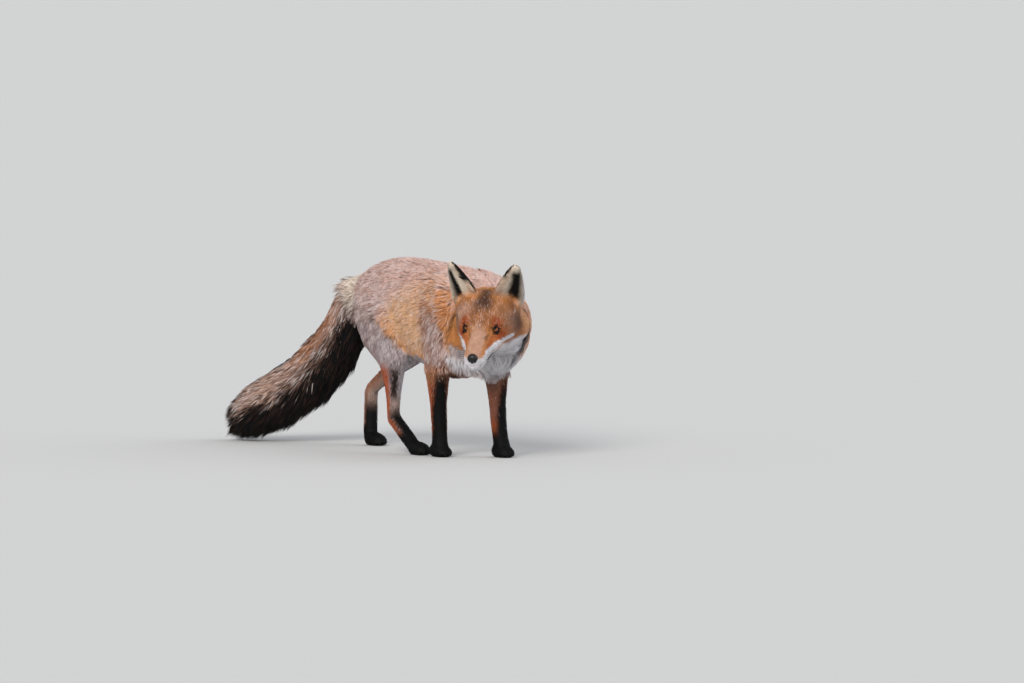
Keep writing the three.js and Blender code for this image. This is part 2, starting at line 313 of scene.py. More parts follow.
# ---- Settings ----
def linear(code):
    """A colour written as six hexadecimal digits, as linear light."""
    parts = [int(code[i : i + 2], 16) / 255 for i in (0, 2, 4)]
    return tuple(p / 12.92 if p <= 0.04045 else ((p + 0.055) / 1.055) ** 2.4 for p in parts)


def colour_setting(name, description, code):
    return FloatVectorProperty(
        name=name, description=description, subtype="COLOR", size=3, min=0, max=1, default=linear(code)
    )


class FoxColours(bpy.types.PropertyGroup):
    """The colours of the coat and the bare parts."""

    pink: colour_setting("Pinkish tan", "Back and sides", "cfa89b")
    grey: colour_setting("Grey brown", "Rump, haunch and upper arm", "96807c")
    ochre: colour_setting("Ochre", "Flank behind the shoulder", "dead85")
    shoulder: colour_setting("Shoulder tan", "Over the shoulder", "cf976f")
    bay: colour_setting("Bay", "Upper arm and the tail's top", "a56f4f")
    brow: colour_setting("Brow", "Forehead and crown", "a4693f")
    orange: colour_setting("Orange", "Neck and the ears' bases", "cf884e")
    vivid: colour_setting("Vivid rust", "Round the eyes and the legs' rear edges", "a9532c")
    silver: colour_setting("Silver", "Pale tips that grizzle the coat", "ebe2e0")
    white: colour_setting("White", "Throat, cheeks and chest", "dfdbdf")
    ash: colour_setting("Ash", "Belly and the thighs' pale fronts", "b3a7aa")
    cream: colour_setting("Cream", "Inside the ears and the tail's root", "ead9c4")
    tan: colour_setting("Tan", "Sides of the tail and inside the legs", "a58b7f")
    bridge: colour_setting("Muzzle tan", "Bridge of the muzzle", "c2967e")
    brown: colour_setting("Dark brown", "Where black fades out", "4a3228")
    black: colour_setting("Black", "Stockings, ears' backs and under the tail", "0b0909")
    iris: colour_setting("Iris", "Amber of the eyes", "7c4112")


class FoxCoat(bpy.types.PropertyGroup):
    """The size and number of the coat's locks."""

    crowd: FloatProperty(
        name="Crowd", description="Share of the full number of locks", default=1.0, min=0.05, max=1.0
    )
    length: FloatProperty(
        name="Length", description="All lock lengths are multiplied by this", default=1.0, min=0.3, max=1.5
    )
    clumping: FloatProperty(
        name="Clumping", description="How far tips draw together", default=0.32, min=0.0, max=1.0
    )
    seed: IntProperty(name="Seed", description="Start of the random draws", default=7)


class FoxStage(bpy.types.PropertyGroup):
    """The camera, the floor and the light."""

    azimuth: FloatProperty(
        name="Azimuth",
        description="Camera's angle round the fox; 0 looks along +Y",
        subtype="ANGLE",
        default=math.radians(-32),
    )
    elevation: FloatProperty(
        name="Elevation",
        description="Camera's angle above the floor",
        subtype="ANGLE",
        default=math.radians(3.5),
    )
    distance: FloatProperty(
        name="Distance", description="From the camera to the fox", unit="LENGTH", default=30.0
    )
    field_width: FloatProperty(
        name="Field width", description="Width of the view at the fox", unit="LENGTH", default=1.946
    )


def colour(name):
    return np.array(getattr(bpy.context.scene.fox_colours, name)[:], float)


# ---- Meshes as arrays ----
class Web:
    """A mesh's edges, to smooth values over them."""

    def __init__(self, edges, count):
        self.start = np.concatenate([edges[:, 0], edges[:, 1]])
        self.end = np.concatenate([edges[:, 1], edges[:, 0]])
        self.count = count
        self.degree = np.maximum(np.bincount(self.start, minlength=count), 1)

    def relax(self, values, rounds, share=0.5):
        for _ in range(rounds):
            sums = [np.bincount(self.start, column[self.end], self.count) for column in values.T]
            mean = np.stack(sums, 1) / self.degree[:, None]
            values = values + (mean - values) * np.reshape(share, (-1, 1))
        return values


def read(items, name, wide=3, kind=np.float32):
    """One value of each of a mesh's items, as rows."""
    flat = np.empty(len(items) * wide, kind)
    items.foreach_get(name, flat)
    return flat.reshape(-1, wide)


def points_of(mesh):
    return read(mesh.vertices, "co").astype(float)


def normals_of(mesh):
    return read(mesh.vertex_normals, "vector").astype(float)


def web_of(mesh):
    return Web(read(mesh.edges, "vertices", 2, np.int32), len(mesh.vertices))


def triangles_of(mesh):
    """Each triangle's points and its corners."""
    mesh.calc_loop_triangles()
    triangles = mesh.loop_triangles
    return read(triangles, "vertices", 3, np.int32), read(triangles, "loops", 3, np.int32)


def put_points(mesh, points):
    mesh.vertices.foreach_set("co", points.astype(np.float32).ravel())
    mesh.update()


def put_colours(mesh, name, colours):
    layer = mesh.color_attributes.new(name, "FLOAT_COLOR", "POINT")
    four = np.ones((len(colours), 4), np.float32)
    four[:, :3] = colours
    layer.data.foreach_set("color", four.ravel())


def object_of(name, data):
    made = bpy.data.objects.new(name, data)
    bpy.context.scene.collection.objects.link(made)
    return made


def mesh_of(name, shape):
    """Ends a bmesh as a mesh with smooth faces."""
    mesh = bpy.data.meshes.new(name)
    shape.to_mesh(mesh)
    shape.free()
    mesh.polygons.foreach_set("use_smooth", [True] * len(mesh.polygons))
    return mesh


def evaluated(held):
    """The object's mesh with its modifiers or bevel; the object goes."""
    seen = held.evaluated_get(bpy.context.evaluated_depsgraph_get())
    mesh = bpy.data.meshes.new_from_object(seen)
    bpy.data.objects.remove(held)
    return mesh


def finished(made, slot, *nodes):
    """Says that the piece rides on the root and hides the nodes that it stands for; the slot is not used."""
    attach(made, "root")
    if nodes:
        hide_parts(*nodes)


def piece(name, mesh, material, slot, *nodes):
    """Puts a finished mesh in the scene."""
    mesh.materials.append(material)
    finished(object_of(name, mesh), slot, *nodes)


# ---- Skin: its shape ----
SEAM_GROWTH = 0.5 * MM  # closes the cuts between the nodes of flesh
EAR_GROWTH = 0.8 * MM
EYE_BED = 2.6 * MM  # round the eyeball
NOSE_BED = 6.5 * MM
VOXEL = 3.1 * MM


def flesh_shell():
    """All the nodes of flesh grown a hair, with the eyes' and nose's beds filled."""
    shell = bmesh.new()
    for node in FLESH:
        part = bmesh.new()
        part.from_mesh(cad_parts[node].data)
        bmesh.ops.remove_doubles(part, verts=part.verts, dist=1e-6)
        part.normal_update()
        growth = EAR_GROWTH if kind_of(node) == "ear" else SEAM_GROWTH
        for vertex in part.verts:
            vertex.co += vertex.normal * growth
        held = bpy.data.meshes.new(node)
        part.to_mesh(held)
        part.free()
        shell.from_mesh(held)
        bpy.data.meshes.remove(held)
    for side in SIDES:
        centre, radius = eye_place(side)
        place = Matrix.Translation(centre)
        bmesh.ops.create_icosphere(shell, subdivisions=4, radius=radius + EYE_BED, matrix=place)
    place = Matrix.Translation(middle_of("nose"))
    bmesh.ops.create_icosphere(shell, subdivisions=3, radius=NOSE_BED, matrix=place)
    return shell


def remeshed(shell):
    """The shell as one closed surface of even faces."""
    held = object_of("shell", mesh_of("shell", shell))
    change = held.modifiers.new("one skin", "REMESH")
    change.mode = "VOXEL"
    change.voxel_size = VOXEL
    return evaluated(held)


def main_island(mesh):
    """Drops whatever isn't joined to the body."""
    web = web_of(mesh)
    label = np.arange(web.count)
    while True:
        lowest = label.copy()
        np.minimum.at(lowest, web.start, label[web.end])
        lowest = lowest[lowest]
        if (lowest == label).all():
            break
        label = lowest
    keep = label == np.bincount(label).argmax()
    if not keep.all():
        shape = bmesh.new()
        shape.from_mesh(mesh)
        loose = [vertex for vertex in shape.verts if not keep[vertex.index]]
        bmesh.ops.delete(shape, geom=loose, context="VERTS")
        shape.to_mesh(mesh)
        shape.free()
    return mesh


def node_tree():
    """One search tree over all the flesh, and the node of each of its faces."""
    points, faces, owners = [], [], []
    for number, node in enumerate(FLESH):
        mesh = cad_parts[node].data
        start = len(points)
        points.extend(vertex.co[:] for vertex in mesh.vertices)
        mesh.calc_loop_triangles()
        for triangle in mesh.loop_triangles:
            faces.append([start + i for i in triangle.vertices])
            owners.append(number)
    return BVHTree.FromPolygons(points, faces), np.array(owners)


def node_weights(points, web, rounds=14):
    """How much each point belongs to each node of flesh, softened over the skin."""
    tree, owners = node_tree()
    nearest = np.array([tree.find_nearest(point)[2] for point in points.tolist()])
    weights = np.eye(len(FLESH))[owners[nearest]]
    return web.relax(weights, rounds)


def weight(weights, *starts):
    """How much each point belongs to the nodes whose names start so."""
    return weights[:, [node.startswith(starts) for node in FLESH]].sum(1)


def by_kind(weights, column):
    """One column of COAT_KINDS, blended over the skin."""
    values = np.array([COAT_KINDS[kind_of(node)][column] for node in FLESH])
    return weights @ values


THICKEST_COAT = 0.24  # of the flesh's own thickness


def elbow(weights, place):
    """The low end of the upper arm, where the coat is short."""
    return weight(weights, "chest") * ramp(225, 175, place[:, 2]) * ramp(-60, -35, place[:, 1])


def coat_depth(points, normals, weights, faces):
    """How far the skin lies under the coat's tips, in m."""
    tree = BVHTree.FromPolygons(points.tolist(), faces.tolist())
    starts = points - normals * 0.0004
    thickness = np.empty(len(points))
    for i, (start, way) in enumerate(zip(starts.tolist(), (-normals).tolist())):
        hit = tree.ray_cast(start, way)
        thickness[i] = hit[3] if hit[3] is not None else 0.02
    place = in_trunk(points)
    face = in_head(points)
    depth = by_kind(weights, DEPTH) * MM
    high = ramp(120, 235, place[:, 2])
    depth *= 1 - weight(weights, "thigh") * (1 - high) * 0.65
    depth *= 1 - elbow(weights, place) * 0.5
    ruff = ramp(20, 75, face[:, 1]) * ramp(15, -25, face[:, 2])
    depth += weight(weights, "head") * ruff * 4 * MM
    for side in SIDES:
        away = np.linalg.norm(points - eye_place(side)[0], axis=1) / MM
        round_eye = (1.0 + 3.0 * ramp(9, 22, away)) * MM
        depth = np.minimum(depth, round_eye + 0.1 * ramp(20, 40, away))
    return np.minimum(depth, thickness * THICKEST_COAT)


def tail_core(points):
    """The tail's skin is a slim core inside its brush."""
    reach, middle, _ = along_tail(points)
    slim = 0.78 - 0.33 * ramp(0.1, 0.4, reach)
    return tail_point(reach * 0.95) + (points - middle) * slim[:, None]


SINK_STEPS = 6


def sunk(mesh, weights):
    """Moves the skin in by the coat's depth, and gives that depth."""
    web = web_of(mesh)
    slim = weight(weights, *LIMBS)
    points = web.relax(points_of(mesh), 6, 0.5 - 0.3 * slim)
    put_points(mesh, points)
    faces, _ = triangles_of(mesh)
    depth = coat_depth(points, normals_of(mesh), weights, faces)
    depth = web.relax(depth[:, None], 8)[:, 0]
    tail = weight(weights, "tail") * ramp(0.03, 0.16, along_tail(points)[0])
    outer = points.copy()
    for _ in range(SINK_STEPS):
        inward = depth * (1 - tail) * (1 - 0.5 * slim) / SINK_STEPS
        points = points - normals_of(mesh) * inward[:, None]
        points = web.relax(points, 1, 0.35 - 0.25 * slim)
        put_points(mesh, points)
    points = mix(points, mix(outer, tail_core(outer), tail), tail)
    points = web.relax(points, 2, 0.4 - 0.3 * slim)
    put_points(mesh, points)
    brush = np.linalg.norm(outer - points, axis=1)
    return depth + (brush - depth) * tail


def finer(mesh, chosen, values):
    """Halves the edges of the faces whose points are all chosen, and carries values to the new points."""
    for i, column in enumerate(values.T):
        layer = mesh.attributes.new(f"v{i}", "FLOAT", "POINT")
        layer.data.foreach_set("value", column.astype(np.float32))
    shape = bmesh.new()
    shape.from_mesh(mesh)
    faces = [face for face in shape.faces if all(chosen[v.index] for v in face.verts)]
    edges = list({edge for face in faces for edge in face.edges})
    bmesh.ops.subdivide_edges(shape, edges=edges, cuts=1, use_grid_fill=True, smooth=0.3)
    shape.to_mesh(mesh)
    shape.free()
    columns = []
    for i in range(values.shape[1]):
        layer = mesh.attributes[f"v{i}"]
        columns.append(read(layer.data, "value", 1).astype(float))
        mesh.attributes.remove(layer)
    return np.hstack(columns)


# Pushes on the face, in the head's frame and mirrored: middle, reach and push, in mm.
FACE_PUSHES = (
    ((24, -6, 12), 10, (0.5, -2.6, 1.6)),  # brow
    ((0, -8, 4), 10, (0, 2.0, -1.2)),  # stop between the eyes
    ((13, -56, -34), 10, (1.8, -0.6, 0)),  # whisker pad
    ((38, 6, -16), 14, (2.6, -1.5, 0.8)),  # cheekbone
    ((12, -22, -8), 9, (-1.2, 0, -0.4)),  # slim bridge
    ((0, -64, -52), 8, (0, -1.5, -1.0)),  # chin
)

MOUTH_BACK = 6.0  # mm ahead of the pupils at the mouth's corner
MOUTH_FRONT = 72.0


def mouth_height(ahead):
    """The mouth line's height in the head's frame: down towards the nose from the raised corner."""
    share = (ahead - MOUTH_BACK) / (MOUTH_FRONT - MOUTH_BACK)
    return -42.5 + 4.0 * (1 - share) ** 2 - 1.5 * np.sin(share * math.pi)


def mouth_groove(place):
    """1 on the mouth line, fading out 2 mm from it."""
    ahead = -place[:, 1]
    along = ramp(MOUTH_BACK - 4, MOUTH_BACK + 2, ahead)
    return along * hump(place[:, 2], mouth_height(ahead), 1.8)


GROOVE = 1.3 * MM  # depth of the mouth line
GROOVE_WIDE = 45  # mm, how far out on the cheeks it may run


def shaped_face(points, normals):
    """Pushes the brows, bridge, cheeks and chin into shape and cuts the mouth line."""
    place = in_head(points)
    moved = np.zeros_like(points)
    for middle, reach, push in FACE_PUSHES:
        for sign in {1, -1 if middle[0] else 1}:
            at = (middle[0] * sign, middle[1], middle[2])
            way = turned_from_head([push[0] * sign, push[1], push[2]])
            moved += ball(place, at, reach)[:, None] * way * MM
    points = points + moved
    groove = mouth_groove(place) * (place[:, 1] < -MOUTH_BACK + 6) * (np.abs(place[:, 0]) < GROOVE_WIDE)
    return points - normals * (groove * GROOVE)[:, None]


LID_THICK = 1.0 * MM
SOCKET_REACH = 9.0 * MM
SOCKET_DEPTH = 2.5 * MM  # from the eyeball's surface to the skin behind it


def opened_lids(points):
    """Wraps the skin round each eyeball and drops it behind the eyeball inside the lids' opening."""
    for side in SIDES:
        centre, radius = eye_place(side)
        away = np.linalg.norm(points - centre, axis=1)
        share = lid_share(points, side)
        out = unit(points - centre)
        ahead = out @ lid_axes(side)[0]
        lid = radius + LID_THICK
        over = (away < lid) & (share >= 1) & (ahead > -0.1)
        points = np.where(over[:, None], centre + out * lid, points)
        inside = (share < 1) & (away < radius + SOCKET_REACH)
        points = np.where(inside[:, None], centre + out * (radius - SOCKET_DEPTH), points)
    return points


# The part of the head with a finer mesh, in the head's frame in mm.
FACE_WIDE = 46
FACE_BACK = 14
FACE_LOW = -64
FACE_HIGH = 34
FINE_ROUND_EYE = 6


def skin_mesh():
    """The skin, each node's share of its points and the coat's depth there."""
    mesh = main_island(remeshed(flesh_shell()))
    weights = node_weights(points_of(mesh), web_of(mesh))
    depth = sunk(mesh, weights)
    values = np.column_stack([weights, depth])
    x, y, z = in_head(points_of(mesh)).T
    face = (np.abs(x) < FACE_WIDE) & (y < FACE_BACK) & (z > FACE_LOW) & (z < FACE_HIGH)
    values = finer(mesh, face, values)
    near_eye = np.zeros(len(mesh.vertices), bool)
    for side in SIDES:
        near_eye |= eye_gap(points_of(mesh), side) < FINE_ROUND_EYE
    values = finer(mesh, near_eye, values)
    put_points(mesh, opened_lids(shaped_face(points_of(mesh), normals_of(mesh))))
    mesh.polygons.foreach_set("use_smooth", [True] * len(mesh.polygons))
    return mesh, values[:, :-1], values[:, -1]


# ---- The lie of the coat ----
DRIFT = 0.16  # how far the lie wanders to the side


def coat_lie(points, normals, weights, web, drift):
    """The way that the coat lies at each point, root to tip."""
    place = in_trunk(points)
    height = place[:, 2]
    flat = np.abs(normals[:, 0])
    ones = np.ones(len(points))

    def steady(x, y, z):
        return np.column_stack([x * ones, y * ones, z * ones])

    trunk = steady(0, 1, 0) - flat[:, None] * np.array([0, 0, 0.45])
    front = ramp(-40, -85, place[:, 1])
    neck = mix(steady(0, 0.8, -0.55), steady(0, -0.05, -1), np.maximum(front, ramp(250, 190, height)))
    neck = mix(neck, steady(0, 1, -0.1), ramp(0.4, 0.8, normals[:, 2]))
    chest = mix(trunk, steady(0, 0.15, -1), ramp(-25, -75, place[:, 1]))
    chest = mix(chest, steady(0, 0.12, -1), ramp(285, 220, height) * ramp(50, 20, place[:, 1]))
    thigh = mix(steady(0, 0.12, -1), steady(0, 0.8, -0.55), ramp(200, 300, height))
    leg = steady(0, 0.06, -1)
    paw = steady(0, -0.8, -0.35)
    tail = along_tail(points)[2] - steady(0, 0, 0.35) * ramp(0.2, -0.5, normals[:, 2])[:, None]

    face = in_head(points)
    side = np.tanh(face[:, 0] / 12)
    outer = np.where(face[:, 0] > 0, 1.0, -1.0)
    crown = steady(0, 0.85, 0.5)
    cheek = np.column_stack([side * 0.55, 0.8 * ones, -0.4 * ones])
    head = mix(crown, cheek, ramp(6, -14, face[:, 2]))
    head = mix(head, steady(0, 0.9, -0.5), ramp(50, 90, face[:, 1]))
    head = turned_from_head(head)
    muzzle = turned_from_head(np.column_stack([side * 0.12, ones, -0.05 * ones]))
    ear = np.column_stack([outer * 0.22, -0.02 * ones, ones])
    inward = np.column_stack([outer * 0.85, -0.3 * ones, 0.45 * ones])
    ear = turned_from_head(mix(ear, inward, ear_fringe(face, normals)))

    # In the order of COAT_KINDS.
    ways = (muzzle, head, ear, neck, chest, trunk, thigh, leg, leg, paw, tail)
    way = sum(unit(way) * weight(weights, kind)[:, None] for kind, way in zip(COAT_KINDS, ways))
    way = web.relax(unit(way), 5)
    sideways = np.cross(normals, unit(way))
    way = unit(way) + sideways * (drift[:, :1] * DRIFT)
    return unit(way - normals * (way * normals).sum(1)[:, None])


# An ear's rings, in the head's frame in mm: height, across, back and half width.
EAR_RINGS = (
    (14, 39, 58, 28),
    (38, 42, 57, 32),
    (62, 48, 55, 28),
    (88, 56, 52, 20),
    (107, 62, 50, 11),
    (113, 64, 50, 5),
)
EAR_SPLAY = math.radians(25)


def across_ear(face):
    """From -1 on an ear's inner edge to 1 on its outer edge, in the head's frame."""
    heights, *rest = zip(*EAR_RINGS)
    x, y, half = (np.interp(face[:, 2], heights, values) for values in rest)
    wide = np.abs(face[:, 0])
    return ((wide - x) * math.cos(EAR_SPLAY) + (face[:, 1] - y) * math.sin(EAR_SPLAY)) / half


def ear_opening(face, normals):
    """1 inside an ear and 0 on its back."""
    side = np.where(face[:, 0] > 0, 1.0, -1.0)
    turned = normals @ HEAD_TURNED
    facing = turned[:, 0] * side * math.sin(EAR_SPLAY) - turned[:, 1] * math.cos(EAR_SPLAY)
    return ramp(-0.05, 0.25, facing)


def ear_fringe(face, normals):
    """The long hair that grows across an ear's opening from its inner edge."""
    return ear_opening(face, normals) * ramp(96, 80, face[:, 2]) * ramp(0.35, 0.0, across_ear(face))


def lock_length(points, normals, weights):
    """How long the locks are at each point, in m."""
    place = in_trunk(points)
    face = in_head(points)
    length = by_kind(weights, LENGTH)
    length *= 1 - weight(weights, "thigh") * ramp(225, 120, place[:, 2]) * 0.5
    length *= 1 - elbow(weights, place) * 0.4
    throat = weight(weights, "neck", "chest") * ramp(-40, -75, place[:, 1])
    length *= 1 + throat * ramp(270, 210, place[:, 2]) * 0.45
    ruff = weight(weights, "head") * ramp(10, 70, face[:, 1]) * ramp(20, -20, face[:, 2])
    length += ruff * 8
    brow = weight(weights, "head") * ball(mirrored(face), [25, 2, 4], 20)
    length *= 1 - brow * 0.45
    length += weight(weights, "ear") * ear_fringe(face, normals) * 9
    under = weight(weights, "tail") * ramp(0.1, -0.5, normals[:, 2])
    dock = weight(weights, "tail") * ramp(0.14, 0.02, along_tail(points)[0])
    length *= 1 + under * 0.2 - dock * 0.4
    return length * MM


def hem_height(y):
    """The flank's lower edge, which rises towards the thigh."""
    return 176 + 71 * ramp(85, 190, y)


# ---- Markings and painted shade, shared by skin and coat ----
# On the trunk and legs y and z are mm behind the withers and above the floor. On the head they are
# mm behind the pupils and above them. A ramp from one such number to another is a marking's soft edge.
def leg_marks(place, normals, base, weights):
    """Black stockings in front, rust behind and pale inside."""
    height = place[:, 2]
    for side in SIDES:
        fore = Paint(len(place), "vivid")
        fore.over("bay", ramp(120, 160, height))
        inner = ramp(0.1, 0.7, faces_way(normals, side, -1.0, 0.1))
        fore.over("tan", inner * ramp(60, 90, height) * 0.35)
        fore.over("brown", inner * 0.25)
        edge = 0.30 + 0.60 * ramp(50, 172, height) + (0.16 if side == "left" else 0.0)
        front = faces_way(normals, side, 0.36, 0.93)
        fore.over("brown", ramp(edge - 0.45, edge + 0.1, front) * ramp(185, 150, height) * 0.75)
        fore.over("black", ramp(edge - 0.2, edge + 0.18, front) * ramp(178, 140, height))
        fore.over("black", ramp(60, 40, height))
        limb = weight(weights, f"foreleg_{side}", f"paw_fore{side}")
        base = mix(base, fore.tone, limb * ramp(192, 165, height))

        hind = Paint(len(place), "ash")
        hind.over("tan", ramp(135, 95, height) * 0.8)
        pale = ramp(0.6, 0.9, faces_way(normals, side, -0.85, 0.5)) * ramp(95, 120, height)
        hind.over("white", pale * (0.6 if side == "right" else 0.15))
        if side == "left":
            hind.over("tan", ramp(160, 130, height) * 0.9)
            hind.over("bay", ramp(0.0, 0.8, faces_way(normals, side, -0.6, -0.8)) * 0.8)
        rear = faces_way(normals, side, 0.35, -0.94)
        hind.over("vivid", ramp(-0.15, 0.3, rear) * 0.95)
        hind.over("brown", ramp(0.7, 1.0, rear) * ramp(125, 105, height) * ramp(80, 95, height) * 0.7)
        stripe = ramp(0.80, 0.97, faces_way(normals, side, 0.62, 0.78))
        hind.over("brown", stripe * ramp(186, 160, height) * ramp(98, 116, height) * 0.9)
        hind.over("black", stripe * ramp(172, 150, height) * ramp(104, 124, height) * 0.8)
        front = faces_way(normals, side, -0.2, 0.98)
        hind.over("brown", ramp(-0.3, 0.3, front) * ramp(98, 76, height) * 0.7)
        hind.over("black", ramp(-0.1, 0.45, front) * ramp(90, 64, height))
        hind.over("black", ramp(48, 34, height))
        thigh = weight(weights, f"thigh_{side}") * ramp(186, 160, height)
        foot = weight(weights, f"hindfoot_{side}", f"paw_hind{side}")
        base = mix(base, hind.tone, np.clip(thigh + foot, 0, 1))
    return mix(base, colour("black"), np.clip(weight(weights, "paw") * 1.6, 0, 1))


def flank_patch(y, z):
    """The ochre patch on the flank, from the shoulder to a slanted rear edge."""
    return ramp(26, 44, y) * ramp(214, 160, y + 0.9 * np.maximum(z - 245, 0)) * ramp(345, 285, z)


def trunk_marks(place, normals, weights):
    """Pinkish tan above, ochre on the flank, orange on the neck, white on the throat and chest, painted shade
    in folds and under the chest.
    """
    x, y, z = place.T
    wide = np.abs(x)
    side_on = np.column_stack([y, z])
    over_hem = z - hem_height(y)
    paint = Paint(len(place), "pink")
    paint.over("grey", ramp(130, 260, y) * 0.25)
    haunch = ramp(310, 255, z) * ramp(165, 215, y)
    paint.over("grey", haunch * 0.8)
    flank = flank_patch(y, z)
    paint.over("ochre", flank)
    paint.over("orange", flank * ramp(34, 8, over_hem) * 0.55)
    neck = np.clip(weight(weights, "neck") + ramp(-28, -52, y), 0, 1)
    paint.over("shoulder", hump(y, 12, 40) * ramp(265, 290, z) * ramp(0.85, 0.5, normals[:, 2]))
    paint.over("orange", neck * ramp(0.75, 0.35, normals[:, 2]) * 0.9)
    arm = ramp(26, 12, y) * ramp(-46, -34, y) * ramp(305, 285, z)
    paint.over("bay", arm * 0.75)
    paint.over("grey", arm * ramp(270, 250, z) * ramp(172, 190, z) * 0.6)
    paint.over("pink", arm * hump(z, 222, 26) * 0.4)
    # A bay line down the upper arm's rear edge: painted shade in the fold behind the arm.
    paint.over("bay", hump(y, 28, 8) * ramp(320, 290, z) * ramp(175, 195, z))
    # A brown line where the flank's lower edge rises to the thigh: painted shade in that fold.
    paint.over("brown", strip(side_on, [(200, 254), (168, 236), (150, 222)], 9) * 0.7)
    below = ramp(6, -8, over_hem) * ramp(20, 40, y)
    paint.over("ash", below)
    paint.over("grey", below * (0.35 + 0.5 * ramp(150, 200, y)))
    belly = ramp(-0.3, -0.65, normals[:, 2]) * ramp(235, 205, z) * ramp(-20, 10, y)
    paint.over("ash", belly)
    inner = weight(weights, "thigh") * ramp(0.0, -0.5, normals[:, 0] * np.sign(x)) * ramp(240, 215, z)
    paint.over("white", inner * 0.6)
    high = z + 14 * ramp(-30, -46, x) + 26 * ramp(14, 34, x) * ramp(-190, -150, y)
    throat = ramp(-32, -48, y) * ramp(232, 216, high)
    throat = np.maximum(throat, ramp(-60, -90, y) * ramp(290, 262, high + 0.5 * wide))
    paint.over("white", throat)
    # Grey low on the chest's front: partly its greyer fur, partly painted shade under the chest.
    paint.over("grey", ramp(200, 165, z) * ramp(-10, -35, y) * 0.7)
    paint.over("cream", ramp(290, 316, y) * ramp(262, 288, z) * 0.8)
    return paint.tone


# Lines on the face, in the head's frame with both sides laid on one, in mm.
TEAR_LINE = ((13, -6, 10), (14, -12, -2), (13.5, -26, -9), (14, -36, -16))
MUZZLE_LINE = ((22, -16, -12), (20, -38, -22))
WHITE_BAND = ((18, -48, -28), (27, -26, -26), (34, -14, -22), (42, 5, -21), (50, 22, -23))
INNER_CORNER = ((19, -7, -1), (15, -10, -6))
OUTER_CORNER = ((38, 0, 5), (44, 6, 6))


def head_marks(face):
    """A rusty face with brown on the crown and cheeks, white lips and chin, black round the eyes and painted
    shade under the jaw.
    """
    x, y, z = face.T
    wide = np.abs(x)
    ahead = -y
    half = mirrored(face)
    paint = Paint(len(face), "brow")
    paint.over("brown", ramp(26, 8, wide) * ramp(22, 38, z) * ramp(95, 60, y) * 0.95)
    paint.over("bridge", spot(face, [-36, 16, 22], 18, 1.4) * 0.75)
    paint.over("shoulder", spot(face, [36, 16, 24], 17, 1.4) * 0.35)
    paint.over("orange", spot(half, [29, 50, 42], 15, 1.5))
    paint.over("orange", ramp(56, 80, y) * 0.9)
    paint.over("grey", spot(half, [50, 34, -2], 18, 1.3) * 0.45)
    paint.over("brown", spot(half, [53, 42, -8], 15, 1.3) * 0.65)
    paint.over("shoulder", ramp(56, 66, wide + 0.15 * y) * ramp(48, 62, y))
    paint.over("ochre", ramp(58, 68, x) * ramp(50, 66, y) * 0.7)
    paint.over("orange", ramp(16, 2, z) * ramp(46, 34, wide) * ramp(-4, 6, ahead) * 0.7)
    paint.over("bridge", ramp(17, 10, wide) * ramp(8, 26, ahead) * ramp(-40, -24, z))
    paint.over("bridge", ramp(8, 3, wide) * ramp(-6, 10, ahead) * ramp(20, 6, z) * 0.5)
    paint.over("vivid", spot(half, [29, 0, 11], 9, 1.9))
    paint.over("vivid", spot(half, [32, -2, -10], 10, 1.9))
    paint.over("brown", strip(half, TEAR_LINE, 5) * 0.6)
    paint.over("vivid", strip(half, MUZZLE_LINE, 7) * 0.65)
    paint.over("white", ramp(-22, -28, z + 0.10 * np.maximum(ahead - 40, 0)) * ramp(22, 34, ahead))
    paint.over("white", strip(half, WHITE_BAND, 7.5))
    low = z + 0.12 * np.maximum(y, -10)
    paint.over("white", ramp(-27, -37, low) * ramp(40, 20, ahead) * ramp(70, 50, y))
    paint.over("white", ramp(-36, -44, z) * ramp(100, 60, y))
    paint.over("white", ramp(-50, -60, z))
    nape = ramp(-47, -56, x + 0.25 * (60 - y)) * ramp(-84, -74, z) * ramp(20, 36, y)
    paint.over("orange", nape)
    away = np.abs(z - mouth_height(ahead) + 1.5)
    dark = ramp(2, 8, ahead) * ramp(70, 30, ahead)
    paint.over("brown", ramp(9, 4, away) * ramp(4, 14, ahead) * ramp(44, 26, ahead) * 0.5)
    line = ramp(1.5 + 2.6 * dark, 0.5 + 1.6 * dark, away)
    paint.over("black", line * ramp(0, 5, ahead) * ramp(50, 34, ahead))
    # Grey under the lower jaw: painted shade under the muzzle.
    paint.over("grey", ramp(-50, -55, z) * ramp(20, 40, ahead) * 0.5)
    points = from_head(face)
    rims = [ramp(1.8, 1.4, lid_share(points, side)) * ramp(7, 4.5, eye_gap(points, side)) for side in SIDES]
    paint.over("black", np.maximum(*rims))
    paint.over("black", strip(half, INNER_CORNER, 3.6))
    paint.over("black", strip(half, OUTER_CORNER, 2.6) * 0.9)
    return paint.tone


def ear_marks(face, normals):
    """Black backs and tips, cream hair inside, a dark hollow and an orange base."""
    x, z = face[:, 0], face[:, 2]
    across = across_ear(face)
    paint = Paint(len(face), "orange")
    paint.over("black", ramp(30, 52, z))
    lining = Paint(len(face), "cream")
    lining.over("bridge", ramp(-0.3, -0.8, across) * 0.5)
    hollow = np.where(x < 0, hump(across, 0.40, 0.28), hump(across, 0.24, 0.48) * 1.2)
    lining.over("black", np.clip(hollow * 1.2, 0, 1) * ramp(22, 36, z) * ramp(104, 90, z))
    lining.over("orange", ramp(42, 24, z) * ramp(0.8, 0.2, across))
    lining.over("white", ramp(0.72, 0.9, across) * ramp(96, 84, z) * 0.8)
    inner_edge = ramp(-0.62, -0.8, across) * np.where(x < 0, ramp(66, 80, z), ramp(78, 92, z))
    lining.over("black", inner_edge)
    lining.over("black", ramp(0.55, 0.8, np.abs(across)) * ramp(96, 104, z))
    return mix(paint.tone, lining.tone, ear_opening(face, normals))


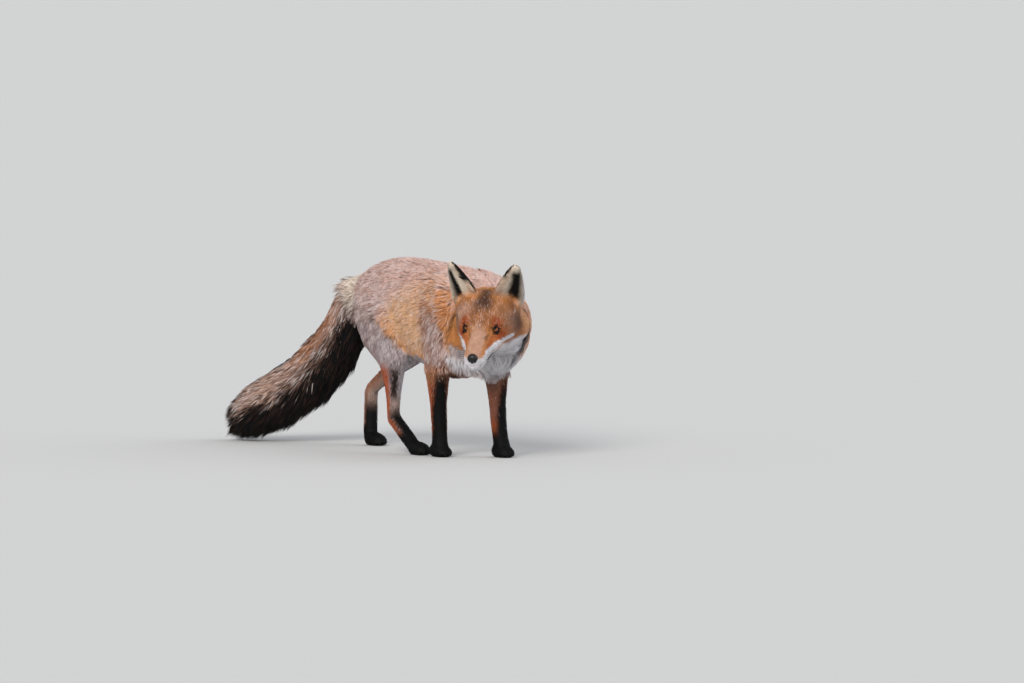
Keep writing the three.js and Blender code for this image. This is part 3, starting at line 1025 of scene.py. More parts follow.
def tail_marks(points):
    """Tan sides, a dark line on top, black below and at the tip, cream at the root."""
    reach, middle, heading = along_tail(points)
    upright = unit(np.array([0.0, 0.0, 1.0]) - heading * heading[:, 2:])
    out = points - middle
    out = unit(out - heading * (out * heading).sum(1)[:, None])
    up = (out * upright).sum(1)
    paint = Paint(len(points), "tan")
    paint.over("bay", ramp(0.1, 0.5, up) * ramp(0.08, 0.2, reach) * ramp(0.62, 0.42, reach) * 0.9)
    paint.over("brown", ramp(0.06, 0.2, reach) * ramp(0.66, 0.42, reach) * ramp(0.5, -0.1, up) * 0.4)
    paint.over("bridge", hump(reach, 0.68, 0.14) * ramp(-0.4, 0.0, up) * 0.4)
    paint.over("grey", ramp(0.2, 0.08, reach) * 0.9)
    paint.over("brown", ramp(0.04, 0.12, reach) * ramp(0.3, -0.2, up) * 0.8)
    paint.over("black", ramp(0.88, 0.97, up) * ramp(0.06, 0.11, reach))
    low = -0.22 + 0.30 * ramp(0.55, 0.85, reach)
    paint.over("black", ramp(low + 0.06, low - 0.16, up) * ramp(0.08, 0.18, reach))
    paint.over("black", ramp(0.84, 0.92, reach))
    paint.over("cream", ramp(0.05, 0.0, reach) * 0.8)
    return paint.tone


def markings(points, normals, weights):
    """The coat's colour at each point."""
    place = in_trunk(points)
    face = in_head(points)
    tone = trunk_marks(place, normals, weights)
    tone = leg_marks(place, normals, tone, weights)
    tone = mix(tone, head_marks(face), np.clip(weight(weights, "head", "muzzle"), 0, 1))
    tone = mix(tone, ear_marks(face, normals), weight(weights, "ear"))
    return mix(tone, tail_marks(points), weight(weights, "tail"))


def grizzle(points, normals, weights, drift):
    """Shares of locks with pale tips and with dark tips at each point."""
    y, z = in_trunk(points)[:, 1:].T
    face = in_head(points)
    over_hem = z - hem_height(y)
    body = weight(weights, "chest", "loin") + weight(weights, "thigh") * ramp(170, 230, z)
    plain = flank_patch(y, z)
    pale = body * (0.40 - 0.2 * plain * ramp(0, 10, over_hem))
    pale += weight(weights, "head") * ramp(-6, 10, face[:, 2]) * 0.12
    pale += weight(weights, "neck") * (0.12 + ramp(0.3, 0.8, normals[:, 2]) * 0.2)
    pale += weight(weights, "tail") * 0.24 + weight(weights, *LIMBS) * 0.06
    dark = body * (0.12 + 0.14 * ramp(170, 230, y)) * (1 - 0.7 * plain)
    dark += weight(weights, "tail") * 0.26
    dark += weight(weights, "head") * ramp(-6, 10, face[:, 2]) * 0.42
    return pale * np.clip(1 + 0.8 * drift[:, 0], 0, 2.2), dark * np.clip(1 - 0.8 * drift[:, 0], 0, 2.2)


# ---- Materials ----
def added(tree, kind, values=None, **settings):
    """A new node with its settings and the values of its inputs."""
    node = tree.nodes.new(kind)
    for name, value in settings.items():
        setattr(node, name, value)
    for name, value in (values or {}).items():
        node.inputs[name].default_value = value
    return node


def fur_tone():
    """A node group that varies a colour with noise."""
    tree = bpy.data.node_groups.get("fur_tone")
    if tree:
        return tree
    tree = bpy.data.node_groups.new("fur_tone", "ShaderNodeTree")
    for name, kind in (("Colour", "Color"), ("Scale", "Float"), ("Amount", "Float")):
        tree.interface.new_socket(name, in_out="INPUT", socket_type=f"NodeSocket{kind}")
    tree.interface.new_socket("Colour", in_out="OUTPUT", socket_type="NodeSocketColor")
    given = added(tree, "NodeGroupInput")
    where = added(tree, "ShaderNodeTexCoord")
    noise = added(tree, "ShaderNodeTexNoise", {"Detail": 3})
    spread = added(tree, "ShaderNodeMapRange", {"From Min": 0.3, "From Max": 0.7})
    lowest = added(tree, "ShaderNodeMath", {0: 1.0}, operation="SUBTRACT")
    highest = added(tree, "ShaderNodeMath", {0: 1.0}, operation="ADD")
    scaled = added(tree, "ShaderNodeVectorMath", operation="SCALE")
    made = added(tree, "NodeGroupOutput")
    wires = (
        (where.outputs["Object"], noise.inputs["Vector"]),
        (given.outputs["Scale"], noise.inputs["Scale"]),
        (given.outputs["Amount"], lowest.inputs[1]),
        (given.outputs["Amount"], highest.inputs[1]),
        (noise.outputs["Fac"], spread.inputs["Value"]),
        (lowest.outputs[0], spread.inputs["To Min"]),
        (highest.outputs[0], spread.inputs["To Max"]),
        (given.outputs["Colour"], scaled.inputs[0]),
        (spread.outputs[0], scaled.inputs["Scale"]),
        (scaled.outputs[0], made.inputs["Colour"]),
    )
    for start, end in wires:
        tree.links.new(start, end)
    return tree


def shaded(name, roughness, specular):
    """A new material, its node tree and its shader."""
    material = bpy.data.materials.new(name)
    material.use_nodes = True
    shader = material.node_tree.nodes["Principled BSDF"]
    shader.inputs["Roughness"].default_value = roughness
    shader.inputs["Specular IOR Level"].default_value = specular
    return material, material.node_tree, shader


def toned(name, roughness, specular=0.5, scale=300.0, amount=0.15, tone=None):
    """A material in one tone, or else in the piece's own marks, varied by the fur tone."""
    material, tree, shader = shaded(name, roughness, specular)
    varied = added(tree, "ShaderNodeGroup", node_tree=fur_tone())
    varied.inputs["Scale"].default_value = scale
    varied.inputs["Amount"].default_value = amount
    if tone is None:
        marks = added(tree, "ShaderNodeAttribute", attribute_name="marks")
        tree.links.new(marks.outputs["Color"], varied.inputs["Colour"])
    else:
        varied.inputs["Colour"].default_value = (*tone, 1)
    tree.links.new(varied.outputs["Colour"], shader.inputs["Base Color"])
    return material


def bumped(material, scale, strength, distance):
    """Adds a fine noise bump to the material."""
    tree = material.node_tree
    where = added(tree, "ShaderNodeTexCoord")
    noise = added(tree, "ShaderNodeTexNoise", {"Scale": scale, "Detail": 4})
    bump = added(tree, "ShaderNodeBump", {"Strength": strength, "Distance": distance})
    tree.links.new(where.outputs["Object"], noise.inputs["Vector"])
    tree.links.new(noise.outputs["Fac"], bump.inputs["Height"])
    tree.links.new(bump.outputs["Normal"], tree.nodes["Principled BSDF"].inputs["Normal"])
    return material


# ---- Coat ----
# Each coat piece: how the names of its nodes start, its number of locks and the rings of a lock.
COATS = {
    "coat_muzzle": ("muzzle", 5500, 2),
    "coat_head": ("head", 17000, 2),
    "coat_ears": ("ear", 8000, 2),
    "coat_neck": ("neck", 10500, 3),
    "coat_chest": ("chest", 19000, 2),
    "coat_loin": ("loin", 19000, 2),
    "coat_thighs": ("thigh", 16000, 2),
    "coat_forelegs": ("foreleg", 9000, 2),
    "coat_feet": (("hindfoot", "paw"), 7000, 2),
    "coat_tail_root": ("tail_root", 5500, 3),
    "coat_tail_middle": ("tail_middle", 8500, 3),
    "coat_tail_end": ("tail_end", 7000, 3),
}
RING_WIDTHS = {2: (0.8, 0.85), 3: (0.7, 1.0, 0.72)}  # of a lock's width, by its number of rings
LOCKS_A_TUFT = 12
LOWEST = 0.3 * MM  # nothing hangs under this height
ROOT_SINK = 0.25 * MM
ROOT_PATCH = 0.003  # width of a lock's patch on the unwrap


def rooted(skin, starts, count, rng):
    """Locks' roots spread evenly over the nodes' skin, with the skin's values there."""
    wanted = [number for number, node in enumerate(FLESH) if node.startswith(starts)]
    owner = skin["weights"].argmax(1)[skin["triangles"][:, 0]]
    chosen = np.flatnonzero(np.isin(owner, wanted) & ~skin["bare"][skin["triangles"]].all(1))
    corners = skin["points"][skin["triangles"][chosen]]
    area = np.linalg.norm(np.cross(corners[:, 1] - corners[:, 0], corners[:, 2] - corners[:, 0]), axis=1)
    area = area * skin["crowd"][skin["triangles"][chosen]].mean(1)
    reached = np.cumsum(area) / area.sum()
    places = (np.arange(count) + rng.random(count)) / count
    picked = chosen[np.searchsorted(reached, places).clip(0, len(chosen) - 1)]
    first, second = np.sqrt(rng.random(count)), rng.random(count)
    shares = np.column_stack([1 - first, first * (1 - second), first * second])[..., None]

    def there(key, which="triangles"):
        values = skin[key].reshape(len(skin[key]), -1)
        return (values[skin[which][picked]] * shares).sum(1).squeeze()

    locks = SimpleNamespace(count=count, roots=there("points"), uvs=there("uvs", "corners"))
    locks.normals = unit(there("normals"))
    locks.way = unit(there("lie"))
    locks.weights = there("weights")
    locks.drift = there("drift")
    locks.depth = there("depth")
    locks.length = there("length") * bpy.context.scene.fox_coat.length
    locks.width = by_kind(locks.weights, WIDTH) * MM
    return locks


def over_skin(tree, points, lift):
    """The points moved onto the skin and up from it."""
    feet, ups = [], []
    for point in points.tolist():
        foot, up, _, _ = tree.find_nearest(point)
        feet.append(foot[:])
        ups.append(up[:])
    return np.array(feet) + np.array(ups) * lift[:, None]


PULL_REACH = 1.3  # how near its leader a lock is drawn in, in half lengths


def drawn_together(roots, middles, tips, rng):
    """Draws tips towards the tip of the nearest of a few leaders, so that locks gather in tufts."""
    leaders = rng.choice(len(roots), max(1, len(roots) // LOCKS_A_TUFT), replace=False)
    tree = kdtree.KDTree(len(leaders))
    for leader in leaders:
        tree.insert(middles[leader], int(leader))
    tree.balance()
    leader = np.array([tree.find(point)[1] for point in middles.tolist()])
    gap = np.linalg.norm(roots - roots[leader], axis=1)
    length = np.linalg.norm(tips - roots, axis=1)
    near = np.clip(PULL_REACH - gap / np.maximum(length, 1e-6) / 0.5, 0, 1)
    pull = bpy.context.scene.fox_coat.clumping * near
    tips = tips + (tips[leader] - tips) * pull[:, None]
    middles = middles + (middles[leader] - middles) * (pull * 0.45)[:, None]
    return middles, tips


def lock_rings(roots, middles, tips, count):
    """Points along each lock, on a curve through its root, middle and tip."""
    rings = []
    for step in range(count):
        t = step / count
        rings.append(roots * (1 - t) * (1 - 2 * t) + middles * 4 * t * (1 - t) + tips * t * (2 * t - 1))
    return rings


def lock_faces(count, rings):
    """Triangles of closed three-sided locks, for each lock's points in order."""
    faces = [[0, 2, 1]]
    for ring in range(rings - 1):
        for side in range(3):
            a, b = ring * 3 + side, ring * 3 + (side + 1) % 3
            faces += [[a, b, b + 3], [a, b + 3, a + 3]]
    last = (rings - 1) * 3
    for side in range(3):
        faces.append([last + side, last + (side + 1) % 3, rings * 3])
    each = rings * 3 + 1
    return (np.arange(count)[:, None, None] * each + np.array(faces)[None]).reshape(-1, 3)


def laid(locks, tree, rng):
    """Lays the locks along the skin, and gives their middles and tips."""
    normals, roots, weights = locks.normals, locks.roots, locks.weights
    side = np.cross(normals, locks.way)
    way = locks.way = unit(locks.way + side * rng.normal(0, 0.12, locks.count)[:, None])
    locks.side = unit(np.cross(normals, way))
    length = locks.length * rng.uniform(0.65, 1.1, locks.count)
    lift = locks.depth * (1.0 - 0.42 * rng.random(locks.count) ** 1.5)
    middles = over_skin(tree, roots + way * (length * 0.5)[:, None], lift * 0.82)
    tips = over_skin(tree, roots + way * length[:, None], lift)
    # On the tail and inside the ears locks stand free of the skin.
    free = weight(weights, "tail") + weight(weights, "ear") * ear_opening(in_head(roots), normals)
    rise = normals * np.maximum(lift, 1.5 * MM)[:, None]
    middles = mix(middles, roots + way * (length * 0.42)[:, None] + rise * 0.8, free)
    tips = mix(tips, roots + way * length[:, None] + rise, free)
    under = weight(weights, "tail") * ramp(0.0, -0.6, normals[:, 2])
    throat = weight(weights, "neck") * ramp(0.2, -0.2, normals[:, 2])
    tips[:, 2] -= (0.15 * under + 0.18 * throat) * length
    middles, tips = drawn_together(roots, middles, tips, rng)
    for points in (middles, tips):
        points[:, 2] = np.maximum(points[:, 2], LOWEST)
    return middles, tips


def lock_points(locks, middles, tips, rings, rng):
    """Three points a ring and one at the tip for each lock, and their soft normals."""
    normals, count = locks.normals, locks.count
    lines = lock_rings(locks.roots - normals * ROOT_SINK, middles, tips, rings)
    broad = locks.width * rng.uniform(0.7, 1.3, count)
    across = unit(locks.side + normals * rng.uniform(-0.5, 0.5, count)[:, None])
    ridge = unit(np.cross(locks.way, across))
    ridge *= np.sign((ridge * normals).sum(1))[:, None]
    points, shading = [], []
    for line, share in zip(lines, RING_WIDTHS[rings]):
        half = (broad * share / 2)[:, None]
        points += [line - across * half, line + across * half, line + ridge * half * 0.8]
        shading += [normals - across * 0.4, normals + across * 0.4, normals + ridge * 0.2]
    points.append(tips)
    shading.append(normals)
    return np.stack(points, 1).reshape(-1, 3), unit(np.stack(shading, 1).reshape(-1, 3))


def lock_tones(locks, rings, rng):
    """Each lock's colours, darker at its root (grey underfur and painted shade), with pale and dark tips that
    grizzle the coat.
    """
    count = locks.count
    loose = locks.width * (0.5 + 0.5 * ramp(4, 12, locks.depth / MM)) * 1.3
    marked = locks.roots + rng.normal(0, 1, (count, 3)) * loose[:, None]
    turned = unit(locks.normals + rng.normal(0, 0.12, (count, 3)))
    tone = markings(marked, turned, locks.weights)
    pale, dark = grizzle(locks.roots, locks.normals, locks.weights, locks.drift)
    pale = pale * ramp(0.01, 0.08, tone.mean(1))
    chance = rng.random(count)
    tone = tone * (1 + 0.05 * locks.drift[:, 1:])
    tip_tone = tone * rng.uniform(0.95, 1.15, count)[:, None]
    tip_tone = mix(tip_tone, colour("silver"), (chance < pale) * rng.uniform(0.35, 0.85, count))
    tip_tone = mix(tip_tone, colour("brown"), (chance > 1 - dark) * rng.uniform(0.35, 0.8, count))
    tone = tone * rng.uniform(0.88, 1.1, count)[:, None]
    tones = []
    for ring in range(rings):
        share = np.full(count, (ring / rings) ** 1.2)
        # Darker towards the root: partly the grey underfur, partly painted shade deep in the coat.
        shade = mix(tone * 0.62, tone, np.minimum(share * 2.2, 1))
        tones += [mix(shade, tip_tone, share * 0.8)] * 3
    tones.append(tip_tone)
    return np.clip(np.stack(tones, 1).reshape(-1, 3), 0, 0.95)


def coat_mesh(name, skin, starts, count, rings, rng):
    """One coat piece, of closed tapered locks."""
    share = bpy.context.scene.fox_coat.crowd * 1.0
    locks = rooted(skin, starts, int(count * share), rng)
    middles, tips = laid(locks, skin["tree"], rng)
    points, shading = lock_points(locks, middles, tips, rings, rng)
    tones = lock_tones(locks, rings, rng)
    faces = lock_faces(locks.count, rings)

    mesh = bpy.data.meshes.new(name)
    mesh.vertices.add(len(points))
    mesh.loops.add(len(faces) * 3)
    mesh.polygons.add(len(faces))
    mesh.vertices.foreach_set("co", points.astype(np.float32).ravel())
    mesh.loops.foreach_set("vertex_index", faces.astype(np.int32).ravel())
    mesh.polygons.foreach_set("loop_start", np.arange(0, len(faces) * 3, 3, dtype=np.int32))
    mesh.polygons.foreach_set("use_smooth", np.ones(len(faces), bool))
    mesh.update()
    put_colours(mesh, "marks", tones)
    soft = mesh.attributes.new("custom_normal", "FLOAT_VECTOR", "POINT")
    soft.data.foreach_set("vector", shading.astype(np.float32).ravel())

    turns = np.arange(rings * 3 + 1) * 2.1
    spots = np.column_stack([np.cos(turns), np.sin(turns)]) * ROOT_PATCH / 2
    uvs = (locks.uvs[:, None] + spots[None]).reshape(-1, 2)
    layer = mesh.uv_layers.new(name="OFBake")
    layer.uv.foreach_set("vector", uvs[faces.ravel()].astype(np.float32).ravel())
    return mesh


# ---- Operators ----
BARE_NOSE = 9.5 * MM  # no coat within this of the nose's middle


class FOX_OT_skin(bpy.types.Operator):
    """Make one skin that replaces the nodes of flesh, inside them by the coat's depth"""

    bl_idname = "fox.skin"
    bl_label = "Skin"

    def execute(self, context):
        mesh, weights, depth = skin_mesh()
        mesh.name = "skin"
        made = object_of("skin", mesh)
        context.view_layer.objects.active = made
        made.select_set(True)
        mesh.uv_layers.new(name="OFBake")
        bpy.ops.object.mode_set(mode="EDIT")
        bpy.ops.mesh.select_all(action="SELECT")
        bpy.ops.uv.smart_project(angle_limit=math.radians(66), island_margin=0.002)
        bpy.ops.object.mode_set(mode="OBJECT")
        made.select_set(False)
        points, normals, web = points_of(mesh), normals_of(mesh), web_of(mesh)
        triangles, corners = triangles_of(mesh)
        bare = np.linalg.norm(points - middle_of("nose"), axis=1) < BARE_NOSE
        for side in SIDES:
            bare |= (eye_gap(points, side) < 4) & (lid_share(points, side) < 1.3)
        face = in_head(points)
        rng = np.random.default_rng(context.scene.fox_coat.seed + 2)
        drift = web.relax(rng.normal(size=(len(points), 2)), 9)
        drift = drift / drift.std(0)
        hollow = weight(weights, "ear") * ear_opening(face, normals)
        middle = np.where(face[:, 0] < 0, 0.4, 0.25)  # the right and the left ear's hollow
        hollow = hollow * hump(across_ear(face), middle, 0.3) * ramp(20, 34, face[:, 2])
        WORK["skin"] = {
            "points": points,
            "normals": normals,
            "triangles": triangles,
            "corners": corners,
            "uvs": read(mesh.uv_layers["OFBake"].uv, "vector", 2),
            "weights": weights,
            "depth": depth,
            "crowd": 1 - 0.85 * np.clip(hollow * 1.3, 0, 1),
            "bare": bare,
            "drift": drift,
            "lie": coat_lie(points, normals, weights, web, drift),
            "length": lock_length(points, normals, weights),
            "tree": BVHTree.FromPolygons(points.tolist(), triangles.tolist()),
        }
        # The skin under the locks takes their marks a quarter darker: partly darker underfur, partly painted
        # shade under the coat.
        tones = markings(points, normals, weights) * 0.75
        tones[bare & (weight(weights, "head", "muzzle") > 0.4)] = colour("black")
        put_colours(mesh, "marks", tones)
        mesh.materials.append(bumped(toned("skin_fur", 0.8, 0.2, 160.0, 0.18), 420.0, 0.5, 0.8 * MM))
        finished(made, "coat", *FLESH)
        return {"FINISHED"}


class FOX_OT_coat(bpy.types.Operator):
    """Grow the coat's locks over the skin"""

    bl_idname = "fox.coat"
    bl_label = "Coat"

    def execute(self, context):
        if "skin" not in WORK:
            raise RuntimeError("the coat needs the skin first")
        rng = np.random.default_rng(context.scene.fox_coat.seed)
        material = toned("coat_fur", 0.6, 0.15, 90.0, 0.10)
        for name, (starts, count, rings) in COATS.items():
            piece(name, coat_mesh(name, WORK["skin"], starts, count, rings, rng), material, "coat")
        return {"FINISHED"}


# The eye's marks, as shares of the eyeball's radius from the line of sight.
IRIS_EDGE = 0.60
PUPIL_WIDE = 0.23
PUPIL_TALL = 0.30
BULGE = 0.5 * MM  # of the clear front


def eyeball(side):
    """An eyeball with a bulging front that looks nearly at the camera."""
    centre, radius = eye_place(side)
    to_camera = np.array(camera_back(bpy.context.scene.fox_stage))
    look = unit(to_camera * 0.85 + lid_axes(side)[0] * 0.15)
    shape = bmesh.new()
    turn = Vector((0, 0, 1)).rotation_difference(Vector(look)).to_matrix().to_4x4()
    bmesh.ops.create_uvsphere(shape, u_segments=64, v_segments=48, radius=radius)
    for vertex in shape.verts:
        polar = math.acos(max(-1, min(1, vertex.co.z / radius)))
        vertex.co *= (radius + math.exp(-((polar / math.radians(30)) ** 2)) * BULGE) / radius
    bmesh.ops.transform(shape, matrix=Matrix.Translation(centre) @ turn, verts=shape.verts)
    mesh = mesh_of(f"eyeball_{side}", shape)
    out = unit(points_of(mesh) - centre)
    across = unit(np.cross(look, [0.0, 0.0, 1.0]))
    u, v = out @ across, out @ np.cross(across, look)
    spread = np.hypot(u, v)
    iris = colour("iris")
    fibres = 0.5 + 0.5 * np.sin(np.arctan2(v, u) * 40)
    tone = mix(np.tile(iris, (len(out), 1)), iris * 1.6, ramp(0.15, 0.4, spread) * (0.4 + 0.6 * fibres))
    tone = mix(tone, iris * 0.25, ramp(IRIS_EDGE - 0.10, IRIS_EDGE, spread))
    tone = mix(tone, colour("black") * 0.4, ramp(IRIS_EDGE, IRIS_EDGE + 0.06, spread))
    tone = mix(tone, [0.003, 0.003, 0.003], ramp(1.06, 0.92, np.hypot(u / PUPIL_WIDE, v / PUPIL_TALL)))
    tone[out @ look < 0] = colour("black")
    put_colours(mesh, "marks", tone)
    return mesh


def swept(name, points, radii, sides=3, closed=False):
    """A round strand along the points, as a closed mesh."""
    line = bpy.data.curves.new(name, "CURVE")
    line.dimensions = "3D"
    line.bevel_depth = 1.0
    line.bevel_resolution = sides
    line.use_fill_caps = True
    spline = line.splines.new("POLY")
    spline.points.add(len(points) - 1)
    for spot, point, radius in zip(spline.points, points, radii):
        spot.co = (*point, 1)
        spot.radius = radius
    spline.use_cyclic_u = closed
    mesh = evaluated(object_of(name, line))
    bpy.data.curves.remove(line)
    return mesh


def joined(name, meshes):
    """One mesh of several, its faces outwards."""
    shape = bmesh.new()
    for mesh in meshes:
        shape.from_mesh(mesh)
        bpy.data.meshes.remove(mesh)
    bmesh.ops.remove_doubles(shape, verts=shape.verts, dist=1e-7)
    bmesh.ops.recalc_face_normals(shape, faces=shape.faces)
    return mesh_of(name, shape)


RIM_STEPS = 56
RIM_RAISE = 0.7 * MM  # from the eyeball to the middle of its rim


def lid_rim(side):
    """The dark ring round an eye's opening, thicker at its two corners."""
    centre, radius = eye_place(side)
    ahead, along, across = lid_axes(side)
    points, radii = [], []
    for step in range(RIM_STEPS):
        angle = 2 * math.pi * step / RIM_STEPS
        u = math.cos(angle)
        upper = math.sin(angle) > 0
        v = float(lid_half_height(np.array(u), upper)) * (1 if upper else -1)
        out = unit(ahead + along * u * LID_HALF_WIDTH + across * v)
        points.append(centre + out * (radius + RIM_RAISE))
        radii.append((0.75 + 0.35 * abs(u) ** 6) * MM)
    return joined(f"lid_rim_{side}", [swept("rim", points, radii, 3, True)])


class FOX_OT_eyes(bpy.types.Operator):
    """Make the eyeballs and the dark rims of their lids"""

    bl_idname = "fox.eyes"
    bl_label = "Eyes"

    def execute(self, context):
        wet = toned("eye_wet", 0.08, 0.5, 900.0, 0.12)
        dark = toned("lid_rim", 0.5, 0.3, tone=colour("black") * 0.6)
        for side in SIDES:
            piece(f"eyeball_{side}", eyeball(side), wet, "eye", f"eye_{side}")
            piece(f"lid_rim_{side}", lid_rim(side), dark, "coat_dark")
        return {"FINISHED"}


NOSE_RADII = np.array([10.3, 8.4, 9.6])  # mm across, ahead and up
NOSTRIL_DEPTH = 4.2
SLOT_DEPTH = 2.2  # of the curl at the nostril's outer side
GROOVE_DEPTH = 1.1  # of the line down the nose's middle


class FOX_OT_nose(bpy.types.Operator):
    """Make the nose pad with its nostrils"""

    bl_idname = "fox.nose"
    bl_label = "Nose"

    def execute(self, context):
        shape = bmesh.new()
        bmesh.ops.create_icosphere(shape, subdivisions=5, radius=1.0)
        mesh = mesh_of("nose_pad", shape)
        out = points_of(mesh)
        x, y, z = out.T
        place = out * NOSE_RADII
        place[:, 0] *= 1 - 0.22 * ramp(0.2, -0.9, z)
        place[:, 1] += 1.2 * ramp(0.0, -1.0, z)
        wide = np.abs(x)
        nostril = hump(wide, 0.50, 0.17) * hump(z, -0.10, 0.24) * (y < 0)
        slot = hump(wide, 0.78, 0.2) * hump(z, -0.28 - 0.2 * (wide - 0.7), 0.12) * (y < 0.1)
        groove = hump(x, 0, 0.07) * ramp(0.4, -0.2, z) * (y < 0)
        place[:, 1] += NOSTRIL_DEPTH * nostril + SLOT_DEPTH * slot + GROOVE_DEPTH * groove
        put_points(mesh, from_head(place + in_head(middle_of("nose")[None])[0]))
        material = toned("nose_skin", 0.42, 0.35, 500.0, 0.3, (0.006, 0.006, 0.007))
        piece("nose_pad", mesh, bumped(material, 1500.0, 0.35, 0.3 * MM), "nose", "nose")
        return {"FINISHED"}


WHISKER_ROWS = 3
WHISKER_COLUMNS = 4


def side_hit(sign, reach, ahead, height):
    """Where a ray from the head's side meets the skin, if it does; the places are in the head's frame."""
    start = from_head([[sign * reach, -ahead, height]])[0]
    hit = WORK["skin"]["tree"].ray_cast(start, turned_from_head([-sign, 0.0, 0.0]))[0]
    return None if hit is None else np.array(hit)


def lips():
    """A strand along the mouth line, from one corner round the front to the other."""
    points = []
    for sign in (-1, 1):
        row = []
        for ahead in np.linspace(MOUTH_BACK, MOUTH_FRONT, 26):
            hit = side_hit(sign, 70, ahead, mouth_height(ahead))
            if hit is not None and abs(in_head(hit[None])[0][0]) > 3:
                row.append(hit)
        points += row if sign < 0 else row[::-1]
    last = len(points) - 1
    radii = [(0.45 + 0.75 * math.sin(math.pi * i / last) ** 0.4) * MM for i in range(last + 1)]
    return joined("lips", [swept("lip", points, radii)])


def whiskers(rng):
    """Thin tapered strands in rows on both whisker pads, longer towards the back."""
    strands = []
    for sign in (-1, 1):
        for row in range(WHISKER_ROWS):
            for column in range(WHISKER_COLUMNS):
                root = side_hit(sign, 60, 62 - 7.5 * column - 2 * row, -30 - 4.0 * row)
                if root is None:
                    continue
                length = (22 + 7 * column + rng.uniform(-3, 3)) * MM
                way = turned_from_head(unit(np.array([sign * 0.85, 0.55, -0.12 - 0.12 * row])))
                fall = turned_from_head([0.0, 0.45, -0.35])
                steps = np.linspace(0, 1, 9)
                line = [root + way * length * s + fall * length * s * s * 0.5 for s in steps]
                strands.append(swept("whisker", line, [(0.24 - 0.2 * s) * MM for s in steps], 1))
    return joined("whiskers", strands)


class FOX_OT_mouth(bpy.types.Operator):
    """Lay the dark lips along the mouth line and set the whiskers"""

    bl_idname = "fox.mouth"
    bl_label = "Lips and whiskers"

    def execute(self, context):
        piece("lips", lips(), toned("lip_skin", 0.5, tone=colour("black") * 0.8), "nose")
        rng = np.random.default_rng(context.scene.fox_coat.seed + 1)
        piece("whiskers", whiskers(rng), toned("whisker_hair", 0.4, tone=colour("black")), "coat_dark")
        return {"FINISHED"}


# All in mm. A claw's place is across and ahead of its paw's middle.
CLAW_PLACES = ((-12, 13), (-4.3, 20), (4.3, 20), (12, 13))
CLAW_LENGTH = 11
CLAW_RADIUS = 1.8
CLAW_TIP = 0.3
CLAW_HEIGHT = 6.2
PAW_MIDDLE = 37.2  # behind the paw's front


def claws_on(paw):
    """Four claws in front of a paw, bent down to just above the floor."""
    low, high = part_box(f"paw_{paw}")
    claws = bmesh.new()
    size = {"radius1": CLAW_RADIUS * MM, "radius2": CLAW_TIP * MM, "depth": CLAW_LENGTH * MM}
    for across, ahead in CLAW_PLACES:
        made = bmesh.ops.create_cone(claws, cap_ends=True, segments=10, **size)
        verts = made["verts"]
        bmesh.ops.rotate(claws, verts=verts, matrix=Matrix.Rotation(math.radians(108), 3, "X"))
        y = low.y + (PAW_MIDDLE - ahead - 8.5) * MM
        place = Vector(((low.x + high.x) / 2 + across * MM, y, CLAW_HEIGHT * MM))
        bmesh.ops.translate(claws, verts=verts, vec=place)
        for vertex in verts:
            drop = max(0.0, place.y - vertex.co.y) / MM
            vertex.co.z = max(vertex.co.z - 0.06 * drop * drop * MM, LOWEST)
    return mesh_of(f"claws_{paw}", claws)


class FOX_OT_claws(bpy.types.Operator):
    """Make the claws, one piece for each paw"""

    bl_idname = "fox.claws"
    bl_label = "Claws"

    def execute(self, context):
        horn = toned("claw_horn", 0.35, tone=(0.085, 0.068, 0.055))
        for paw in ("foreleft", "foreright", "hindleft", "hindright"):
            piece(f"claws_{paw}", claws_on(paw), horn, "claw")
        return {"FINISHED"}


# ---- Stage ----
VIEW_RIGHT = 0.0963  # m, the view's middle to the right of the trunk's origin
VIEW_UP = 0.217
FLOOR_HALF = 250  # m
FLOOR_TONE = (0.56, 0.555, 0.545, 1)
SKY_TONE = (0.80, 0.83, 0.88, 1)
SKY_STRENGTH = 0.75
# Each sun's strength, softness in degrees, place as seen from the fox, and tint.
SUNS = {
    "sun_key": (2.4, 26, (-0.70, -0.56, 0.58), (1.0, 0.97, 0.93)),
    "sun_fill": (0.9, 60, (0.9, -0.7, 0.7), (0.93, 0.96, 1.0)),
}


def camera_back(stage):
    """From the fox towards the camera."""
    a, e = stage.azimuth, stage.elevation
    return Vector((math.sin(a) * math.cos(e), -math.cos(a) * math.cos(e), math.sin(e)))


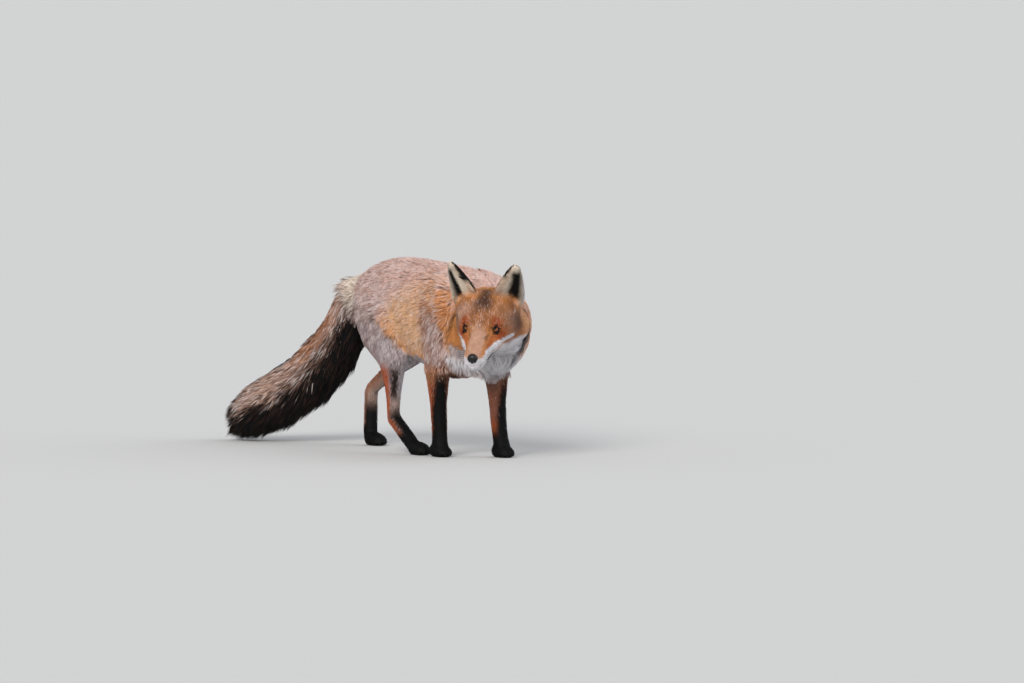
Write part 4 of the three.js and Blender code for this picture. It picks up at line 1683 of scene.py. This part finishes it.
class FOX_OT_stage(bpy.types.Operator):
    """Set the camera, the floor and the soft light"""

    bl_idname = "fox.stage"
    bl_label = "Stage"

    def execute(self, context):
        scene, stage = context.scene, context.scene.fox_stage
        back = camera_back(stage)
        right = Vector((math.cos(stage.azimuth), math.sin(stage.azimuth), 0))
        lens = bpy.data.cameras.new("camera")
        lens.sensor_width = 36
        lens.lens = lens.sensor_width * stage.distance / stage.field_width
        lens.clip_end = FLOOR_HALF * 2
        camera = object_of("camera", lens)
        aim = Vector(HOME) + right * VIEW_RIGHT + back.cross(right) * VIEW_UP
        camera.location = aim + back * stage.distance
        camera.rotation_euler = (-back).to_track_quat("-Z", "Y").to_euler()
        scene.camera = camera

        ground = bmesh.new()
        bmesh.ops.create_grid(ground, x_segments=2, y_segments=2, size=FLOOR_HALF)
        floor = object_of("floor", mesh_of("floor", ground))
        material, _, shader = shaded("pale_floor", 0.9, 0.1)
        shader.inputs["Base Color"].default_value = FLOOR_TONE
        floor.data.materials.append(material)

        for name, (strength, softness, way, tint) in SUNS.items():
            light = bpy.data.lights.new(name, "SUN")
            light.energy = strength
            light.angle = math.radians(softness)
            light.color = tint
            object_of(name, light).rotation_euler = Vector(way).to_track_quat("Z", "Y").to_euler()
        scene.world = bpy.data.worlds.new("studio")
        scene.world.use_nodes = True
        sky = scene.world.node_tree.nodes["Background"]
        sky.inputs["Color"].default_value = SKY_TONE
        sky.inputs["Strength"].default_value = SKY_STRENGTH
        scene.view_settings.view_transform = "Standard"
        return {"FINISHED"}


# ---- Add-on ----
class FOX_PT_panel(bpy.types.Panel):
    """Lists the fox's settings and the steps that build it"""

    bl_idname = "FOX_PT_panel"
    bl_label = "Red fox"
    bl_space_type = "VIEW_3D"
    bl_region_type = "UI"
    bl_category = "Red fox"

    def draw(self, context):
        scene = context.scene
        for group in (scene.fox_colours, scene.fox_coat, scene.fox_stage):
            box = self.layout.box()
            for name in group.__annotations__:
                box.prop(group, name)
        for step in STEPS:
            self.layout.operator(step.bl_idname)


STEPS = (FOX_OT_stage, FOX_OT_skin, FOX_OT_coat, FOX_OT_eyes, FOX_OT_nose, FOX_OT_mouth, FOX_OT_claws)
GROUPS = {"fox_colours": FoxColours, "fox_coat": FoxCoat, "fox_stage": FoxStage}


def register():
    for name, group in GROUPS.items():
        bpy.utils.register_class(group)
        setattr(bpy.types.Scene, name, PointerProperty(type=group))
    for made in (*STEPS, FOX_PT_panel):
        bpy.utils.register_class(made)


def unregister():
    for made in reversed((*STEPS, FOX_PT_panel)):
        bpy.utils.unregister_class(made)
    for name, group in reversed(GROUPS.items()):
        delattr(bpy.types.Scene, name)
        bpy.utils.unregister_class(group)


def main():
    register()
    for step in STEPS:
        family, name = step.bl_idname.split(".")
        getattr(getattr(bpy.ops, family), name)()


if __name__ == "__main__":
    main()
